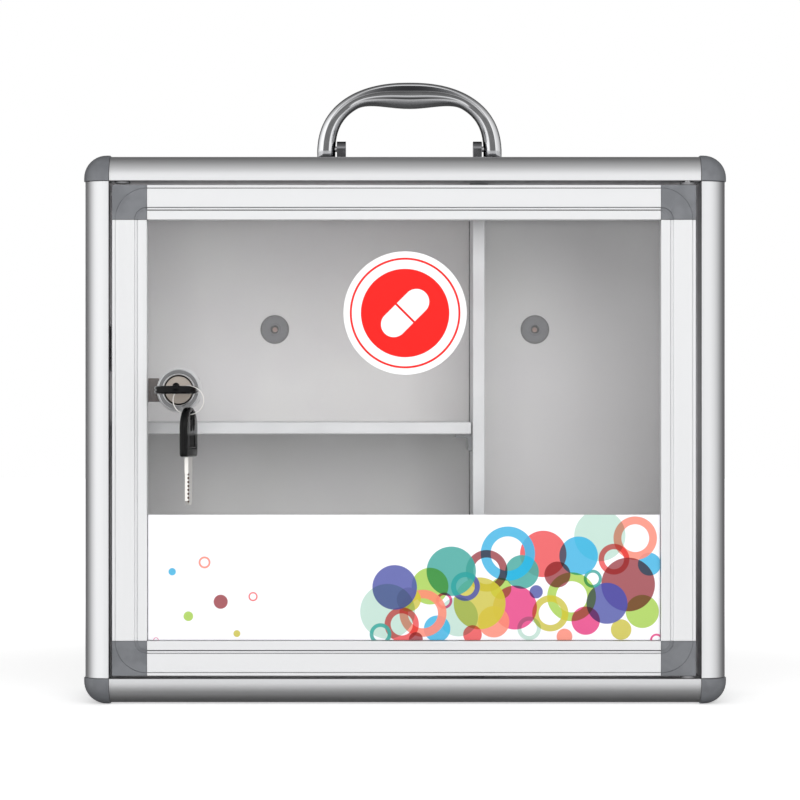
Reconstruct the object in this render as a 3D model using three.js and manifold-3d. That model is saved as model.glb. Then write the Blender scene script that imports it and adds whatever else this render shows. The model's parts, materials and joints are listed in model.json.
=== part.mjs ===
// A wall cabinet for medicines: aluminium case, glazed door with a cam lock, folding carry handle.
// Millimetres. X to the right, Y to the back, Z up.
// The origin is on the underside of the bottom wall, at mid width and mid depth.
import * as THREE from "three";
import { mergeVertices } from "three/addons/utils/BufferGeometryUtils.js";
import Module from "manifold-3d";

const wasm = await Module();
wasm.setup();

// Fits and cuts that every piece shares
const seam = 0.15;
const runningGap = 0.3;
const overrun = 1;
const weldDistance = 1e-4;

// Facets of round shapes
const arcSteps = 5;
const fineArcSteps = 8;
const paneHoleSteps = 16;
const holeSides = 12;
const screwSides = 16;
const pinSides = 20;
const knuckleSides = 28;
const roundSides = 32;
const lockSides = 40;
const postSides = 48;
const doorCornerSides = 56;
const stickerSides = 64;
const ringWireSides = 8;

// Case
const caseWidth = 340;
const caseHeight = 290;
const caseDepth = 120;
const wallThickness = 13.3;
const wallSkin = 1.6;
const wallWebDepth = 62;
const rebateWidth = 8;
const rebateDepth = 5;
const openingHalfX = caseWidth / 2 - wallThickness;
const openingHalfZ = caseHeight / 2 - wallThickness;
const frontY = -caseDepth / 2;

// Corner posts of the case
const postProud = 0.7;
const postCornerRadius = 12;
const postReach = wallThickness + postProud;
const postTongueLength = 14;

// Back panel, its screws and the hanging grommets
const panelThickness = 3;
const panelCornerRadius = 2;
const panelScrewInset = 4;
const panelFrontY = frontY + caseDepth - rebateDepth + seam;
const panelBackY = panelFrontY + panelThickness;
const panelScrew = { radius: 1.45, headRadius: 2.9, headHeight: 1.8, length: 12 };
const smallScrew = { radius: 1.45, headRadius: 2.7, headHeight: 1.6, length: 6 };
const grommetSpacing = 145;
const grommetBelowTop = 90;
const grommetZ = caseHeight - grommetBelowTop;
const grommetRadius = 8;
const grommetNeckRadius = 5;
const grommetBoreRadius = 2.1;
const grommetFlange = 1.5;
const grommetSkin = 0.5;

// Divider and shelf
const boardThickness = 6.4;
const boardSetback = 30;
const dividerBesideGrommet = 33;
const shelfDrop = 54.4;
const dividerX = grommetSpacing / 2 - dividerBesideGrommet;
const shelfZ = grommetZ - shelfDrop;
const shelfEndGap = 0.9;
const sealThickness = 1.2;
const sealProud = 0.6;
const channelWall = 1.5;
const channelHeight = 9;
const supportLeg = 9;
const supportThickness = 2;
const supportInset = 10;
const boardFrontY = frontY + boardSetback;
const boardBackY = panelFrontY - runningGap;

// Door frame
const doorGapLeft = 1.8;
const doorGapRight = 3;
const doorGapTop = 2.3;
const doorGapBottom = 1.6;
const doorSetback = 0.5;
const doorThickness = 13;
const railWidth = 18.3;
const railSkin = 1.3;
const lipWidth = 1.5;
const lipStep = 0.35;
const grooveStart = 11.7;
const grooveWidth = 1.8;
const grooveDepth = 1;
const beadStep = 0.5;
const doorTongueLength = 14;
const doorWidth = 2 * openingHalfX - doorGapLeft - doorGapRight;
const doorHeight = 2 * openingHalfZ - doorGapTop - doorGapBottom;
const doorCentreX = (doorGapLeft - doorGapRight) / 2;
const doorCentreZ = caseHeight / 2 + (doorGapBottom - doorGapTop) / 2;
const doorFrontY = frontY + doorSetback;
const glassHalfX = doorWidth / 2 - railWidth;
const glassHalfZ = doorHeight / 2 - railWidth;

// Glazing: pane, gasket and films
const paneThickness = 3;
const paneGrip = 6;
const gasketWall = 1.2;
const gasketRecess = 1;
const slotStart = 4.2;
const slotWidth = paneThickness + 2 * gasketWall + 4 * seam;
const slotDepth = paneGrip + gasketWall + 2 * seam;
const paneFront = slotStart + gasketWall + 2 * seam;
const paneFrontY = doorFrontY + paneFront;
const filmThickness = 0.25;
const filmGap = 0.1;
const labelHeight = 66.7;
const stickerRadius = 32.7;
const stickerDrop = 49.3;
const stickerX = 0;
const stickerZ = doorCentreZ + glassHalfZ - stickerDrop;

// Hinge
const pivotInset = 4;
const pivotBehindDoorFace = 4.5;
const pinRadius = 2;
const pinInWall = 7;
const pinInDoor = 11;
const washerRadius = 4;
const washerThickness = 1.3;
const pivotX = openingHalfX - doorGapRight - pivotInset;
const pivotY = doorFrontY + pivotBehindDoorFace;
const doorBottomZ = wallThickness + doorGapBottom;
const doorTopZ = caseHeight - wallThickness - doorGapTop;

// Cam lock: lengths behind the pane's front face are positive
const lockInset = 16.7;
const lockRise = 21.35;
const lockX = doorCentreX - glassHalfX + lockInset;
const lockZ = doorCentreZ + lockRise;
const bezelRadius = 11;
const bezelHeight = 3;
const bezelRound = 1.4;
const barrelRadius = 9.3;
const barrelLength = 14.8;
const plugRadius = 7.2;
const plugInset = 0.8;
const plugLength = 17.5;
const keywayWidth = 8.2;
const keywayHeight = 2.6;
const keywayDepth = 16.6;
const tailRadius = 4;
const tailFlat = 3;
const tailLength = 3.2;
const lockWasherRadius = 12;
const lockWasherThickness = 1;
const nutAcrossFlats = 21.5;
const nutThickness = 4;
const camThickness = 2;
const camReach = 26;
const camWidth = 12.6;
const camHookWidth = 7.5;
const camHeadRadius = 8.5;
const camTipChamfer = 3;
const camScrew = { radius: 1.5, headRadius: 4.2, headHeight: 2.2, length: 3.6 };
const plugFrontY = paneFrontY - bezelHeight + plugInset;
const plugBackY = plugFrontY + plugLength;
const camFrontY = plugBackY + runningGap;

// Keeper on the left wall, at the height that the cam's hook turns to
const keeperThickness = 2;
const keeperReach = 16.5;
const keeperFlange = 22;
const keeperHalfHeight = 12;
const keeperPlateGap = 1.2;
const keeperScrewSpread = 7;
const keeperZ = lockZ + camReach - camHookWidth / 2;
const stopReach = 4;
const keeperBackY = camFrontY - keeperPlateGap;
const stopFrontY = doorFrontY + doorThickness + runningGap;

// Keys and key ring
const bowWidth = 23;
const bowLength = 26;
const bowThickness = 4.2;
const bowEdge = 0.9;
const bowHoleInset = 4.3;
const bowHoleRadius = 2.6;
const bowFootRadius = 3;
const collarWidth = 8.6;
const collarLength = 8.9;
const bladeWidth = 7.4;
const bladeThickness = 2;
const bladeLength = 16;
const bladeTipChamfer = 2;
const tangWidth = 6;
const tangLength = 10;
const bowBevelSteps = 2;
const ringRadius = 8;
const ringWireRadius = 0.5;
const ringLean = THREE.MathUtils.degToRad(34.7);
const ringSlack = 0.6;
const spareKeyTurn = THREE.MathUtils.degToRad(78);
const keyHoleY = plugFrontY - collarLength - bowLength + bowHoleInset;

// Carry handle: heights are above the case top, half widths are from the handle's middle
const handleX = 2.4;
const archHalfWidth = 50.1;
const archRise = 39.1;
const archBase = 4;
const archRoundness = 2.3;
const innerHalfWidth = 40.2;
const innerRise = 29.9;
const innerRoundness = 2.7;
const gripSag = 5;
const gripSagHalfWidth = 28;
const gripSagPower = 1.5;
const gripWidening = 4;
const gripDepth = 14;
const legDepth = 9.2;
const legEndRadius = 4.6;
const handlePivotHeight = 7;
const bracketPlate = 2;
const bracketInnerX = 22;
const bracketHalfDepth = 8;
const knuckleInnerX = 34.5;
const knuckleOuterX = 39.4;
const knuckleRadius = 4.2;
const handlePinRadius = 1.5;
const handlePinSunk = 0.8;
const bracketScrewX = 28;
const bracketScrewCover = 0.5;
const bracketScrew = {
  radius: 1.45,
  headRadius: 2.7,
  headHeight: 1.6,
  length: wallThickness + bracketPlate - bracketScrewCover,
};

// Finishes
const finishes = {
  aluminium: { color: 0xd9dbde, roughness: 0.38, metalness: 0.9 },
  doorAluminium: { color: 0xeef0f2, roughness: 0.45, metalness: 0.7 },
  greyPlastic: { color: 0x7d8286, roughness: 0.45, metalness: 0 },
  board: { color: 0xd2d3d4, roughness: 0.6, metalness: 0 },
  backSheet: { color: 0xb9b8b8, roughness: 0.7, metalness: 0 },
  greyRubber: { color: 0x6f7072, roughness: 0.8, metalness: 0 },
  blackRubber: { color: 0x2a2b2d, roughness: 0.85, metalness: 0 },
  glass: { color: 0xe8f2ef, roughness: 0.02, metalness: 0, transparent: true, opacity: 0.2 },
  film: { color: 0xfbfafd, roughness: 0.4, metalness: 0 },
  nylon: { color: 0xe9e8e2, roughness: 0.5, metalness: 0 },
  steel: { color: 0xb7b9bc, roughness: 0.3, metalness: 1 },
  bronzedSteel: { color: 0x5f5049, roughness: 0.45, metalness: 0.8 },
  chrome: { color: 0xc8cacd, roughness: 0.08, metalness: 1 },
  blackPlastic: { color: 0x151517, roughness: 0.3, metalness: 0 },
};

// Solids: a closed geometry becomes a solid for cuts and joins, and comes back as a geometry
function solidOf(geometry) {
  const bare = geometry.clone();
  bare.deleteAttribute("normal");
  bare.deleteAttribute("uv");
  const merged = mergeVertices(bare, weldDistance);
  const vertProperties = new Float32Array(merged.attributes.position.array);
  const triVerts = new Uint32Array(merged.index.array);
  return new wasm.Manifold(new wasm.Mesh({ numProp: 3, vertProperties, triVerts }));
}

function geometryOf(solid) {
  const mesh = solid.getMesh();
  const geometry = new THREE.BufferGeometry();
  geometry.setAttribute("position", new THREE.BufferAttribute(mesh.vertProperties, 3));
  geometry.setIndex(new THREE.BufferAttribute(mesh.triVerts, 1));
  geometry.computeVertexNormals();
  return geometry;
}

function cut(geometry, cutters) {
  return geometryOf(cutters.reduce((solid, cutter) => solid.subtract(solidOf(cutter)), solidOf(geometry)));
}

function join(geometries) {
  return geometryOf(geometries.map(solidOf).reduce((whole, solid) => whole.add(solid)));
}

function common(first, second) {
  return geometryOf(solidOf(first).intersect(solidOf(second)));
}

// Block between two corners, each given as [x, y, z]
function block(low, high) {
  const size = high.map((value, axis) => value - low[axis]);
  const middle = high.map((value, axis) => (value + low[axis]) / 2);
  return new THREE.BoxGeometry(...size).translate(...middle);
}

// Rods between two ends, along X, Y or Z
function rodAlongY(radius, start, end, x = 0, z = 0, sides = roundSides) {
  const rod = new THREE.CylinderGeometry(radius, radius, end - start, sides);
  return rod.translate(x, (start + end) / 2, z);
}

function rodAlongX(radius, start, end, y = 0, z = 0, sides = roundSides) {
  const rod = new THREE.CylinderGeometry(radius, radius, end - start, sides).rotateZ(Math.PI / 2);
  return rod.translate((start + end) / 2, y, z);
}

function rodAlongZ(radius, start, end, x = 0, y = 0, sides = roundSides) {
  const rod = new THREE.CylinderGeometry(radius, radius, end - start, sides).rotateX(Math.PI / 2);
  return rod.translate(x, y, (start + end) / 2);
}

// Prisms: an outline in (y, z) drawn out along X, or in (x, z) drawn out along Y
function prismAlongX(shape, start, end, curveSegments = arcSteps) {
  const prism = new THREE.ExtrudeGeometry(shape, { depth: end - start, bevelEnabled: false, curveSegments });
  const toX = new THREE.Matrix4().makeBasis(
    new THREE.Vector3(0, 1, 0),
    new THREE.Vector3(0, 0, 1),
    new THREE.Vector3(1, 0, 0),
  );
  return prism.applyMatrix4(toX).translate(start, 0, 0);
}

function prismAlongY(shape, start, end, curveSegments = arcSteps) {
  const prism = new THREE.ExtrudeGeometry(shape, { depth: end - start, bevelEnabled: false, curveSegments });
  return prism.rotateX(Math.PI / 2).translate(0, end, 0);
}

function polygon(points) {
  return new THREE.Shape(points.map(([across, up]) => new THREE.Vector2(across, up)));
}

function roundedRectangle(halfX, halfZ, radius) {
  const shape = new THREE.Shape();
  shape.moveTo(-halfX + radius, -halfZ);
  shape.lineTo(halfX - radius, -halfZ);
  shape.absarc(halfX - radius, -halfZ + radius, radius, -Math.PI / 2, 0, false);
  shape.absarc(halfX - radius, halfZ - radius, radius, 0, Math.PI / 2, false);
  shape.absarc(-halfX + radius, halfZ - radius, radius, Math.PI / 2, Math.PI, false);
  shape.absarc(-halfX + radius, -halfZ + radius, radius, Math.PI, 1.5 * Math.PI, false);
  return shape;
}

function circleHole(x, z, radius) {
  const hole = new THREE.Path();
  hole.absarc(x, z, radius, 0, 2 * Math.PI, true);
  return hole;
}

// A profile of [radius, y] points turned about the Y axis
function turned(profile, sides = roundSides) {
  return new THREE.LatheGeometry(profile.map(([radius, y]) => new THREE.Vector2(radius, y)), sides);
}

// A pan-head screw along Y: its head's seat is at y = 0, and its shank runs towards +Y
function screwGeometry(screw) {
  const crownShare = 0.25;
  const crown = crownShare * screw.headRadius;
  return turned([
    [0, -screw.headHeight],
    [screw.headRadius - crown, -screw.headHeight],
    [screw.headRadius, -screw.headHeight + crown],
    [screw.headRadius, 0],
    [screw.radius, 0],
    [screw.radius, screw.length - screw.radius],
    [0, screw.length],
  ], screwSides);
}

// Scene graph helpers: a mesh, where it stands, and the quarter turns about Y that place repeats
function piece(name, geometry, finish) {
  const mesh = new THREE.Mesh(geometry, new THREE.MeshStandardMaterial(finishes[finish]));
  mesh.name = name;
  return mesh;
}

function at(object, x, y, z) {
  object.position.set(x, y, z);
  return object;
}

function turnedAboutY(object, quarterTurns) {
  object.rotation.y = (quarterTurns * Math.PI) / 2;
  return object;
}

// Case wall: an extrusion whose front edge is a quarter round and whose back edge is a rebate
function wallSection() {
  const section = new THREE.Shape();
  const rebateY = caseDepth - rebateDepth;
  const rim = wallThickness - rebateWidth;
  section.moveTo(0, wallThickness);
  section.absarc(wallThickness, wallThickness, wallThickness, Math.PI, 1.5 * Math.PI, false);
  section.lineTo(caseDepth, 0);
  section.lineTo(caseDepth, rim);
  section.lineTo(rebateY, rim);
  section.lineTo(rebateY, wallThickness);
  return section;
}

// Its two hollow chambers, on either side of a web
function wallChambers() {
  const front = new THREE.Shape();
  const frontRadius = wallThickness - wallSkin;
  const webFront = wallWebDepth - wallSkin / 2;
  const frontStart = Math.PI + Math.asin(wallSkin / frontRadius);
  front.absarc(wallThickness, wallThickness, frontRadius, frontStart, 1.5 * Math.PI, false);
  front.lineTo(webFront, wallSkin);
  front.lineTo(webFront, wallThickness - wallSkin);

  const webBack = wallWebDepth + wallSkin / 2;
  const rearEnd = caseDepth - rebateDepth - wallSkin;
  const rear = polygon([
    [webBack, wallSkin],
    [rearEnd, wallSkin],
    [rearEnd, wallThickness - wallSkin],
    [webBack, wallThickness - wallSkin],
  ]);
  return [front, rear];
}

// Wall of the given half length, drawn below the case's centre line; reach is its outer face's distance
function wall(halfLength, reach, holes) {
  const bar = prismAlongX(wallSection(), -halfLength + seam, halfLength - seam);
  const end = halfLength + overrun;
  const chambers = wallChambers().map((shape) => prismAlongX(shape, -end, end));
  const place = (geometry) => geometry.translate(0, frontY, -reach);
  return cut(place(bar), [...chambers.map(place), ...holes]);
}

// Rounded square of the posts: its radius in the direction of an angle about the opening's corner
function postRadiusAt(angle) {
  const across = Math.abs(Math.cos(angle));
  const up = Math.abs(Math.sin(angle));
  const flat = postReach - postCornerRadius;
  if (postReach * Math.min(across, up) <= flat * Math.max(across, up)) {
    return postReach / Math.max(across, up);
  }
  return flat * (across + up) + Math.sqrt(postCornerRadius ** 2 - (flat * (across - up)) ** 2);
}

// Post with a ball front, as one quarter of a turned body that is drawn out to the rounded square
function postQuarter() {
  const ballSteps = 8;
  const profile = [[0, caseDepth], [postReach, caseDepth]];
  for (let step = 0; step <= ballSteps; step += 1) {
    const angle = (step / ballSteps) * (Math.PI / 2);
    profile.push([postReach * Math.cos(angle), wallThickness - postReach * Math.sin(angle)]);
  }
  profile[profile.length - 1][0] = 0;
  const body = turned(profile.reverse(), postSides);
  const position = body.attributes.position;
  for (let index = 0; index < position.count; index += 1) {
    const x = position.getX(index);
    const z = position.getZ(index);
    const stretch = postRadiusAt(Math.atan2(z, x)) / postReach;
    position.setXYZ(index, x * stretch, position.getY(index), z * stretch);
  }
  const reach = postReach + overrun;
  return common(body, block([-reach, -reach, -reach], [0, caseDepth + reach, 0]));
}

// Tongues that enter the chambers of the two walls beside a post
function postTongues() {
  const low = -wallThickness + wallSkin + runningGap;
  const high = -wallSkin - runningGap;
  const spans = [
    [wallThickness, wallWebDepth - wallSkin / 2 - runningGap],
    [wallWebDepth + wallSkin / 2 + runningGap, caseDepth - rebateDepth - wallSkin - runningGap],
  ];
  return spans.flatMap(([start, end]) => [
    block([-overrun, start, low], [postTongueLength, end, high]),
    block([low, start, -overrun], [high, end, postTongueLength]),
  ]);
}

// Bottom left post, drawn about the opening's corner; the other three are quarter turns of it
function cornerPost() {
  const rebateY = caseDepth - rebateDepth;
  const rebate = block([-rebateWidth, rebateY, -rebateWidth], [overrun, caseDepth + overrun, overrun]);
  const pilotEnd = rebateY - panelScrew.length;
  const pilot = rodAlongY(
    panelScrew.radius + seam, pilotEnd, rebateY + overrun, -panelScrewInset, -panelScrewInset, holeSides,
  );
  return cut(join([postQuarter(), ...postTongues()]), [rebate, pilot]);
}

function caseShell() {
  const shell = at(new THREE.Group(), 0, 0, caseHeight / 2);
  const pinHole = (end) => rodAlongZ(
    pinRadius + seam, -openingHalfZ - pinInWall, -openingHalfZ + overrun, end * pivotX, pivotY,
  );
  const keeperHoles = keeperScrewPlaces().map(([y, z]) => {
    const along = keeperZ - caseHeight / 2 + z;
    const skinDepth = smallScrew.length + overrun;
    return rodAlongZ(
      smallScrew.radius + seam, -openingHalfX - skinDepth, -openingHalfX + overrun, -along, y, holeSides,
    );
  });
  const bracketHoles = [-1, 1].map((side) => rodAlongZ(
    bracketScrew.radius + seam,
    -caseHeight / 2 - overrun,
    -openingHalfZ + overrun,
    -(handleX + side * bracketScrewX),
    0,
    holeSides,
  ));
  const walls = [
    ["wall_bottom", openingHalfX, caseHeight / 2, 0, [pinHole(1)]],
    ["wall_left", openingHalfZ, caseWidth / 2, 1, keeperHoles],
    ["wall_top", openingHalfX, caseHeight / 2, 2, [pinHole(-1), ...bracketHoles]],
    ["wall_right", openingHalfZ, caseWidth / 2, 3, []],
  ];
  for (const [name, halfLength, reach, turns, holes] of walls) {
    shell.add(turnedAboutY(piece(name, wall(halfLength, reach, holes), "aluminium"), turns));
  }
  const posts = [
    ["corner_post_bottom_left", -1, -1, 0],
    ["corner_post_top_left", -1, 1, 1],
    ["corner_post_top_right", 1, 1, 2],
    ["corner_post_bottom_right", 1, -1, 3],
  ];
  for (const [name, sideX, sideZ, turns] of posts) {
    const post = turnedAboutY(piece(name, cornerPost(), "greyPlastic"), turns);
    shell.add(at(post, sideX * openingHalfX, frontY, sideZ * openingHalfZ));
  }
  return shell;
}

// Back panel in the rebate, screwed to the posts, with two rubber grommets for the wall screws
function backPanel() {
  const half = rebateWidth - runningGap;
  const shape = roundedRectangle(openingHalfX + half, openingHalfZ + half, panelCornerRadius);
  for (const side of [-1, 1]) {
    const grommetHeight = grommetZ - caseHeight / 2;
    shape.holes.push(circleHole((side * grommetSpacing) / 2, grommetHeight, grommetNeckRadius + seam));
    for (const up of [-1, 1]) {
      const x = side * (openingHalfX + panelScrewInset);
      const z = up * (openingHalfZ + panelScrewInset);
      shape.holes.push(circleHole(x, z, panelScrew.radius + seam));
    }
  }
  return prismAlongY(shape, panelFrontY, panelBackY, fineArcSteps);
}

// Grommet whose bore is closed at the rear by a thin skin for the wall screw to pierce
function grommet() {
  const front = -panelThickness / 2 - seam;
  const back = panelThickness / 2 + seam;
  const round = grommetFlange / 2;
  const skinFront = back + grommetFlange - grommetSkin;
  return turned([
    [0, skinFront],
    [grommetBoreRadius, skinFront],
    [grommetBoreRadius, front - grommetFlange],
    [grommetRadius - round, front - grommetFlange],
    [grommetRadius, front - grommetFlange + round],
    [grommetRadius, front],
    [grommetNeckRadius, front],
    [grommetNeckRadius, back],
    [grommetRadius - round, back],
    [grommetRadius - round, back + grommetFlange],
    [0, back + grommetFlange],
  ]);
}

function backAssembly() {
  const back = new THREE.Group();
  back.add(at(piece("back_panel", backPanel(), "backSheet"), 0, 0, caseHeight / 2));
  for (const [side, word] of [[-1, "left"], [1, "right"]]) {
    const ring = piece(`wall_grommet_${word}`, grommet(), "greyRubber");
    back.add(at(ring, (side * grommetSpacing) / 2, (panelFrontY + panelBackY) / 2, grommetZ));
    for (const [up, level] of [[-1, "bottom"], [1, "top"]]) {
      const screw = piece(`back_screw_${level}_${word}`, screwGeometry(panelScrew).rotateZ(Math.PI), "steel");
      const z = caseHeight / 2 + up * (openingHalfZ + panelScrewInset);
      back.add(at(screw, side * (openingHalfX + panelScrewInset), panelBackY + seam, z));
    }
  }
  return back;
}

// Divider between two channels, and the shelf on two angle supports
function dividerChannel() {
  const inner = boardThickness / 2 + seam;
  const outer = inner + channelWall;
  const section = polygon([
    [-outer, 0],
    [outer, 0],
    [outer, channelHeight],
    [inner, channelHeight],
    [inner, channelWall],
    [-inner, channelWall],
    [-inner, channelHeight],
    [-outer, channelHeight],
  ]);
  return prismAlongY(section, boardFrontY, boardBackY);
}

// Angle under the shelf; side is 1 where its leg stands on the left, and -1 on the right
function shelfSupport(side) {
  const bend = supportThickness;
  const corner = supportThickness + bend;
  const section = new THREE.Shape();
  section.moveTo(0, 0);
  section.lineTo(0, -supportLeg);
  section.lineTo(side * supportThickness, -supportLeg);
  section.lineTo(side * supportThickness, -corner);
  section.absarc(side * corner, -corner, bend, side > 0 ? Math.PI : 0, Math.PI / 2, side > 0);
  section.lineTo(side * supportLeg, -supportThickness);
  section.lineTo(side * supportLeg, 0);
  return prismAlongY(section, boardFrontY + supportInset, boardBackY - supportInset);
}

function fittings() {
  const inside = new THREE.Group();
  const floorZ = wallThickness + seam;
  const ceilingZ = caseHeight - wallThickness - seam;
  const inChannel = channelWall + seam;
  const dividerLeft = dividerX - boardThickness / 2;
  const dividerRight = dividerX + boardThickness / 2;
  const sealFrontY = boardBackY - sealThickness;
  const divider = block(
    [dividerLeft, boardFrontY, floorZ + inChannel],
    [dividerRight, sealFrontY - seam, ceilingZ - inChannel],
  );
  inside.add(piece("divider", divider, "board"));
  const seal = block(
    [dividerLeft - sealProud, sealFrontY, floorZ + channelHeight + seam],
    [dividerRight, boardBackY, ceilingZ - channelHeight - seam],
  );
  inside.add(piece("divider_seal", seal, "blackRubber"));
  inside.add(at(piece("divider_channel_bottom", dividerChannel(), "aluminium"), dividerX, 0, floorZ));
  const topChannel = turnedAboutY(piece("divider_channel_top", dividerChannel(), "aluminium"), 2);
  inside.add(at(topChannel, dividerX, 0, ceilingZ));

  const shelfLeft = -openingHalfX + runningGap;
  const shelfRight = dividerLeft - shelfEndGap;
  const shelf = block(
    [shelfLeft, boardFrontY, shelfZ - boardThickness / 2],
    [shelfRight, boardBackY, shelfZ + boardThickness / 2],
  );
  inside.add(piece("shelf", shelf, "board"));
  const supportZ = shelfZ - boardThickness / 2 - seam;
  const leftSupport = piece("shelf_support_left", shelfSupport(1), "greyPlastic");
  inside.add(at(leftSupport, -openingHalfX + seam, 0, supportZ));
  const rightSupport = piece("shelf_support_right", shelfSupport(-1), "greyPlastic");
  inside.add(at(rightSupport, dividerLeft - seam, 0, supportZ));
  return inside;
}

// Keeper: an angle on the left wall with a plate that the hook turns in behind, and a lip that stops the door
function keeperScrewPlaces() {
  const y = (keeperBackY + stopFrontY + keeperFlange) / 2;
  return [[y, -keeperScrewSpread], [y, keeperScrewSpread]];
}

function keeper() {
  const wallX = -openingHalfX + seam;
  const flangeX = wallX + keeperThickness;
  const plateX = wallX + keeperReach;
  const plateFrontY = keeperBackY - keeperThickness;
  const section = polygon([
    [wallX, stopFrontY],
    [wallX + stopReach, stopFrontY],
    [wallX + stopReach, stopFrontY + keeperThickness],
    [flangeX, stopFrontY + keeperThickness],
    [flangeX, plateFrontY],
    [plateX, plateFrontY],
    [plateX, keeperBackY],
    [flangeX, keeperBackY],
    [flangeX, stopFrontY + keeperFlange],
    [wallX, stopFrontY + keeperFlange],
  ]);
  const height = 2 * keeperHalfHeight;
  const angle = new THREE.ExtrudeGeometry(section, { depth: height, bevelEnabled: false });
  const holes = keeperScrewPlaces().map(([y, z]) => rodAlongX(
    smallScrew.radius + seam, wallX - overrun, flangeX + overrun, y, z, holeSides,
  ));
  return cut(angle.translate(0, 0, -keeperHalfHeight), holes);
}

function keeperAssembly() {
  const set = at(new THREE.Group(), 0, 0, keeperZ);
  set.add(piece("lock_keeper", keeper(), "steel"));
  keeperScrewPlaces().forEach(([y, z], index) => {
    const level = index === 0 ? "lower" : "upper";
    const screw = piece(`keeper_screw_${level}`, screwGeometry(smallScrew).rotateZ(Math.PI / 2), "steel");
    set.add(at(screw, -openingHalfX + keeperThickness + 2 * seam, y, z));
  });
  return set;
}

// Hinge pins and washers between the case and the door's right corners, and a pad over its left corner
function hinge() {
  const set = at(new THREE.Group(), pivotX, pivotY, 0);
  const washer = () => cut(
    rodAlongZ(washerRadius, 0, washerThickness),
    [rodAlongZ(pinRadius + seam, -overrun, washerThickness + overrun)],
  );
  const bottomStart = wallThickness - pinInWall + seam;
  const bottomPin = rodAlongZ(pinRadius, bottomStart, doorBottomZ + pinInDoor);
  const topEnd = caseHeight - wallThickness + pinInWall - seam;
  const topPin = rodAlongZ(pinRadius, doorTopZ - pinInDoor, topEnd);
  set.add(piece("hinge_pin_bottom", bottomPin, "steel"));
  set.add(piece("hinge_pin_top", topPin, "steel"));
  set.add(at(piece("hinge_washer_bottom", washer(), "nylon"), 0, 0, wallThickness + seam));
  set.add(at(piece("hinge_washer_top", washer(), "nylon"), 0, 0, doorTopZ + seam));
  const padTop = caseHeight - wallThickness - seam;
  const pad = rodAlongZ(washerRadius, padTop - washerThickness, padTop, -2 * pivotX);
  set.add(piece("door_pad", pad, "nylon"));
  return set;
}

// Door bar: across is from the door's outer edge inwards, depth is from the door's front face
function doorBarSection() {
  const bead = grooveStart + grooveWidth;
  const slotEnd = slotStart + slotWidth;
  const slotBottom = railWidth - slotDepth;
  return polygon([
    [lipStep, 0],
    [doorThickness, 0],
    [doorThickness, railWidth],
    [slotEnd, railWidth],
    [slotEnd, slotBottom],
    [slotStart, slotBottom],
    [slotStart, railWidth],
    [beadStep, railWidth],
    [beadStep, bead],
    [grooveDepth, bead],
    [grooveDepth, grooveStart],
    [0, grooveStart],
    [0, lipWidth],
    [lipStep, lipWidth],
  ]);
}

function doorBar(halfLength, reach) {
  const bar = prismAlongX(doorBarSection(), -halfLength + seam, halfLength - seam);
  const chamber = block(
    [-halfLength - overrun, grooveDepth + railSkin, railSkin],
    [halfLength + overrun, doorThickness - railSkin, railWidth - slotDepth - railSkin],
  );
  return cut(bar, [chamber]).translate(0, 0, -reach);
}

// Door corner: the bar's face turned about the glass corner, with tongues and a rebate for the pane
function doorCorner(boreAxis) {
  const bead = railWidth - grooveStart - grooveWidth;
  const far = railWidth * Math.SQRT2 + overrun;
  const profile = [
    [0, beadStep],
    [bead, beadStep],
    [bead, grooveDepth],
    [railWidth - grooveStart, grooveDepth],
    [railWidth - grooveStart, 0],
    [railWidth - lipWidth, 0],
    [railWidth - lipWidth, lipStep],
    [far, lipStep],
    [far, doorThickness],
    [0, doorThickness],
  ];
  const square = block([-railWidth, -overrun, -railWidth], [0, doorThickness + overrun, 0]);
  const body = common(turned(profile, doorCornerSides), square);
  const tongueLow = -railWidth + railSkin + runningGap;
  const tongueHigh = -slotDepth - railSkin - runningGap;
  const front = grooveDepth + railSkin + runningGap;
  const back = doorThickness - railSkin - runningGap;
  const tongues = [
    block([-overrun, front, tongueLow], [doorTongueLength, back, tongueHigh]),
    block([tongueLow, front, -overrun], [tongueHigh, back, doorTongueLength]),
  ];
  const pocket = block(
    [-slotDepth, slotStart, -slotDepth],
    [overrun, slotStart + slotWidth, overrun],
  );
  const cuts = [pocket];
  const boreEnd = -railWidth + pinInDoor + runningGap;
  const bore = [pinRadius + runningGap / 2, -railWidth - overrun, boreEnd];
  if (boreAxis === "x") {
    cuts.push(rodAlongX(...bore, pivotBehindDoorFace, -railWidth + pivotInset));
  }
  if (boreAxis === "z") {
    cuts.push(rodAlongZ(...bore, -railWidth + pivotInset, pivotBehindDoorFace));
  }
  return cut(join([body, ...tongues]), cuts);
}

function pane() {
  const shape = polygon([
    [-glassHalfX - paneGrip, -glassHalfZ - paneGrip],
    [glassHalfX + paneGrip, -glassHalfZ - paneGrip],
    [glassHalfX + paneGrip, glassHalfZ + paneGrip],
    [-glassHalfX - paneGrip, glassHalfZ + paneGrip],
  ]);
  shape.holes.push(circleHole(lockX - doorCentreX, lockZ - doorCentreZ, barrelRadius + seam));
  return prismAlongY(shape, paneFront, paneFront + paneThickness, paneHoleSteps);
}

function gasket() {
  const grip = slotDepth - seam;
  const front = slotStart + seam;
  const back = slotStart + slotWidth - seam;
  const outer = block(
    [-glassHalfX - grip, front, -glassHalfZ - grip],
    [glassHalfX + grip, back, glassHalfZ + grip],
  );
  const window = block(
    [-glassHalfX - gasketRecess, front - overrun, -glassHalfZ - gasketRecess],
    [glassHalfX + gasketRecess, back + overrun, glassHalfZ + gasketRecess],
  );
  const pocketGrip = paneGrip + seam;
  const pocket = block(
    [-glassHalfX - pocketGrip, paneFront - seam, -glassHalfZ - pocketGrip],
    [glassHalfX + pocketGrip, paneFront + paneThickness + seam, glassHalfZ + pocketGrip],
  );
  return cut(outer, [window, pocket]);
}

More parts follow.
